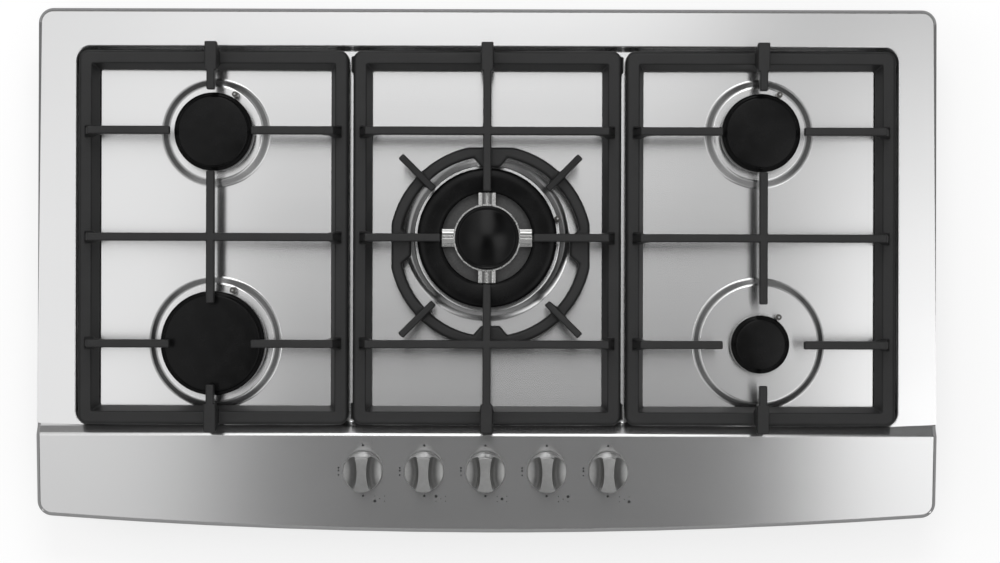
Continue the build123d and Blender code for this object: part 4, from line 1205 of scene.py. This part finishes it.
@dataclass
class Studio:
    """A white table and room, soft lamps, and a camera that looks straight down, in metres."""

    camera_place: Place = (0.013, -0.0105, 2.208)
    lens: float = 77.16
    roll: float = 0.165
    ceiling: float = 1.15
    rear_ceiling: float = 1.95
    right_ceiling: float = 1.85
    left_front: float = 0.62
    right_front: float = 1.1
    left_corner: float = 0.72
    right_corner: float = 0.06
    surround: float = 0.38
    strip: float = 0.05
    strip_half: float = 0.134
    strip_half_least: float = 0.04
    strip_flare: float = -0.06
    strip_shift: float = 0.007
    side_wall: float = 0.09
    rear_wall: float = 0.14
    front_wall: float = 0.34
    fill: float = 0.60
    floor_size: float = 14.0
    floor_gap: float = 0.0002
    floor_glow: float = 0.715
    floor_tint: Colour = grey(0.34)
    lamp_aim: Place = (0.0, 0.0, 0.05)

    LAMPS = (
        Lamp("rear_softbox", (0.0, 1.7, 1.9), (1.3, 0.9), 18.0),
        Lamp("left_softbox", (-1.9, 0.5, 1.6), (0.9, 1.4), 6.0),
    )

    def build(self) -> None:
        """Builds the floor, the world, the lamps and the camera."""
        self.build_floor()
        self.build_world()
        for lamp in self.LAMPS:
            self.build_lamp(lamp)
        self.build_camera()
        bpy.context.scene.view_settings.view_transform = "Standard"

    def build_floor(self) -> None:
        """Lays a pale floor that keeps the object's shadow and lies just below it."""
        bpy.ops.mesh.primitive_plane_add(size=self.floor_size, location=(0, 0, -self.floor_gap))
        floor = bpy.context.object
        floor.name = "studio_floor"
        board = MaterialBoard("studio_floor_white")
        board.dress(base_color=self.floor_tint, roughness=0.9)
        plain = board.shader.outputs[0]
        glow = board.node("ShaderNodeEmission", grey(1.0), self.floor_glow).outputs[0]
        both = board.node("ShaderNodeAddShader", plain, glow).outputs[0]
        camera_ray = board.node("ShaderNodeLightPath").outputs["Is Camera Ray"]
        board.fill(board.output.inputs["Surface"], board.choose(camera_ray, plain, both))
        floor.data.materials.append(board.material)

    def build_world(self) -> None:
        """White to the camera, the mirrored room to what is glossy, and soft light to the rest."""
        board = WorldBoard("studio_world")
        walls, ceiling = self.mirrored_walls(board), self.mirrored_ceiling(board)
        room = board.blend(board.band(board.z, Zone.CEILING_FOOT), walls, ceiling)
        rays = board.node("ShaderNodeLightPath").outputs
        soft, mirrored, seen = (board.background(level) for level in (self.fill, room, 1.0))
        unseen = board.choose(rays["Is Glossy Ray"], soft, mirrored)
        board.node("ShaderNodeOutputWorld", board.choose(rays["Is Camera Ray"], unseen, seen))

    def mirrored_walls(self, board: WorldBoard) -> Socket:
        """The walls: dark at the sides and behind, a little brighter before the cooktop.

        Args:
            board: The world's board.

        Returns:
            The walls' brightness.
        """
        maths, band, x, y = board.maths, board.band, board.x, board.y
        plan = maths("SQRT", maths("ADD", board.times(x, x), board.times(y, y)))
        endways = maths("DIVIDE", y, maths("MAXIMUM", plan, 0.001))
        walls = board.blend(band(endways, Zone.REAR_WALL), self.side_wall, self.rear_wall)
        return board.blend(band(endways, Zone.FRONT_WALL), walls, self.front_wall)

    def mirrored_ceiling(self, board: WorldBoard) -> Socket:
        """The ceiling: bright, with a dim strip over the middle, and dim beyond what is mirrored.

        Args:
            board: The world's board.

        Returns:
            The ceiling's brightness.
        """
        maths, band, times, blend = board.maths, board.band, board.times, board.blend
        height = maths("MAXIMUM", board.z, 0.05)
        across, along = maths("DIVIDE", board.x, height), maths("DIVIDE", board.y, height)
        aside = maths("ABSOLUTE", across)
        # brighter behind its middle and to the right
        rear = times(band(along, Zone.REAR_ALONG), band(aside, Zone.REAR_ACROSS))
        level = blend(rear, self.ceiling, self.rear_ceiling)
        level = blend(band(across, Zone.RIGHT_ACROSS), level, self.right_ceiling)
        # a level of its own in each corner
        for along_zone, across_zone, corner in (
            (Zone.LEFT_CORNER_ALONG, Zone.LEFT_CORNER_ACROSS, self.left_corner),
            (Zone.RIGHT_CORNER_ALONG, Zone.RIGHT_CORNER_ACROSS, self.right_corner),
            (Zone.FRONT_ALONG, Zone.LEFT_FRONT_ACROSS, self.left_front),
            (Zone.FRONT_ALONG, Zone.RIGHT_FRONT_ACROSS, self.right_front),
        ):
            level = blend(times(band(along, along_zone), band(across, across_zone)), level, corner)
        # the strip widens towards the cook
        half_width = maths("MULTIPLY_ADD", along, self.strip_flare, self.strip_half)
        half_width = maths("MAXIMUM", half_width, self.strip_half_least)
        from_strip = maths("ABSOLUTE", maths("SUBTRACT", across, self.strip_shift))
        edge = band(maths("DIVIDE", from_strip, half_width), Zone.STRIP_EDGE)
        ends = times(band(along, Zone.STRIP_FRONT), band(along, Zone.STRIP_REAR))
        level = blend(times(edge, ends), level, self.strip)
        # beyond what the flat sheet mirrors it is dim, so that every bend shows as a dark line
        beyond = maths("MAXIMUM", band(aside, Zone.BESIDE), band(along, Zone.BEFORE))
        return blend(beyond, level, self.surround)

    def build_lamp(self, lamp: Lamp) -> None:
        """Hangs one soft lamp that no surface mirrors, and aims it."""
        place, aim = Vector(lamp.place), Vector(self.lamp_aim)
        bpy.ops.object.light_add(type="AREA", location=place)
        light = bpy.context.object
        light.name = lamp.name
        light.rotation_euler = (aim - place).to_track_quat("-Z", "Y").to_euler()
        light.data.shape = "RECTANGLE"
        light.data.size, light.data.size_y = lamp.size
        light.data.energy = lamp.power
        light.visible_glossy = False

    def build_camera(self) -> None:
        """Hangs the camera over the cooktop, level, and turned a little as in the photograph."""
        turn = Euler((0, 0, math.radians(self.roll)))
        bpy.ops.object.camera_add(location=self.camera_place, rotation=turn)
        camera = bpy.context.object
        camera.name = "photo_camera"
        camera.data.lens = self.lens
        camera.data.sensor_width = 36.0
        bpy.context.scene.camera = camera


def main() -> None:
    """Builds the cooktop's looks piece by piece, then the studio."""
    logging.basicConfig(level=logging.INFO, format="%(name)s: %(message)s")
    shop = Paintshop()
    shop.dress_nodes()
    PressedPlate(shop).build()
    for side in ("left", "centre", "right"):
        PanSupport(shop, side).build()
    WokRing(shop).build()
    rear, front = CENTRE_Y + PITCH_Y, CENTRE_Y - PITCH_Y
    for burner in (
        SingleBurner(shop, "rear_left", -BURNER_X, rear, 39.0, 85.0),
        SingleBurner(shop, "front_left", -BURNER_X, front, 51.8, 86.0),
        SingleBurner(shop, "rear_right", BURNER_X, rear, 39.0, 85.0),
        SingleBurner(shop, "front_right", BURNER_X, front, 29.0, 82.0),
    ):
        burner.build()
    WokBurner(shop).build()
    KnobRow(shop).build()
    Studio().build()


if __name__ == "__main__":
    main()
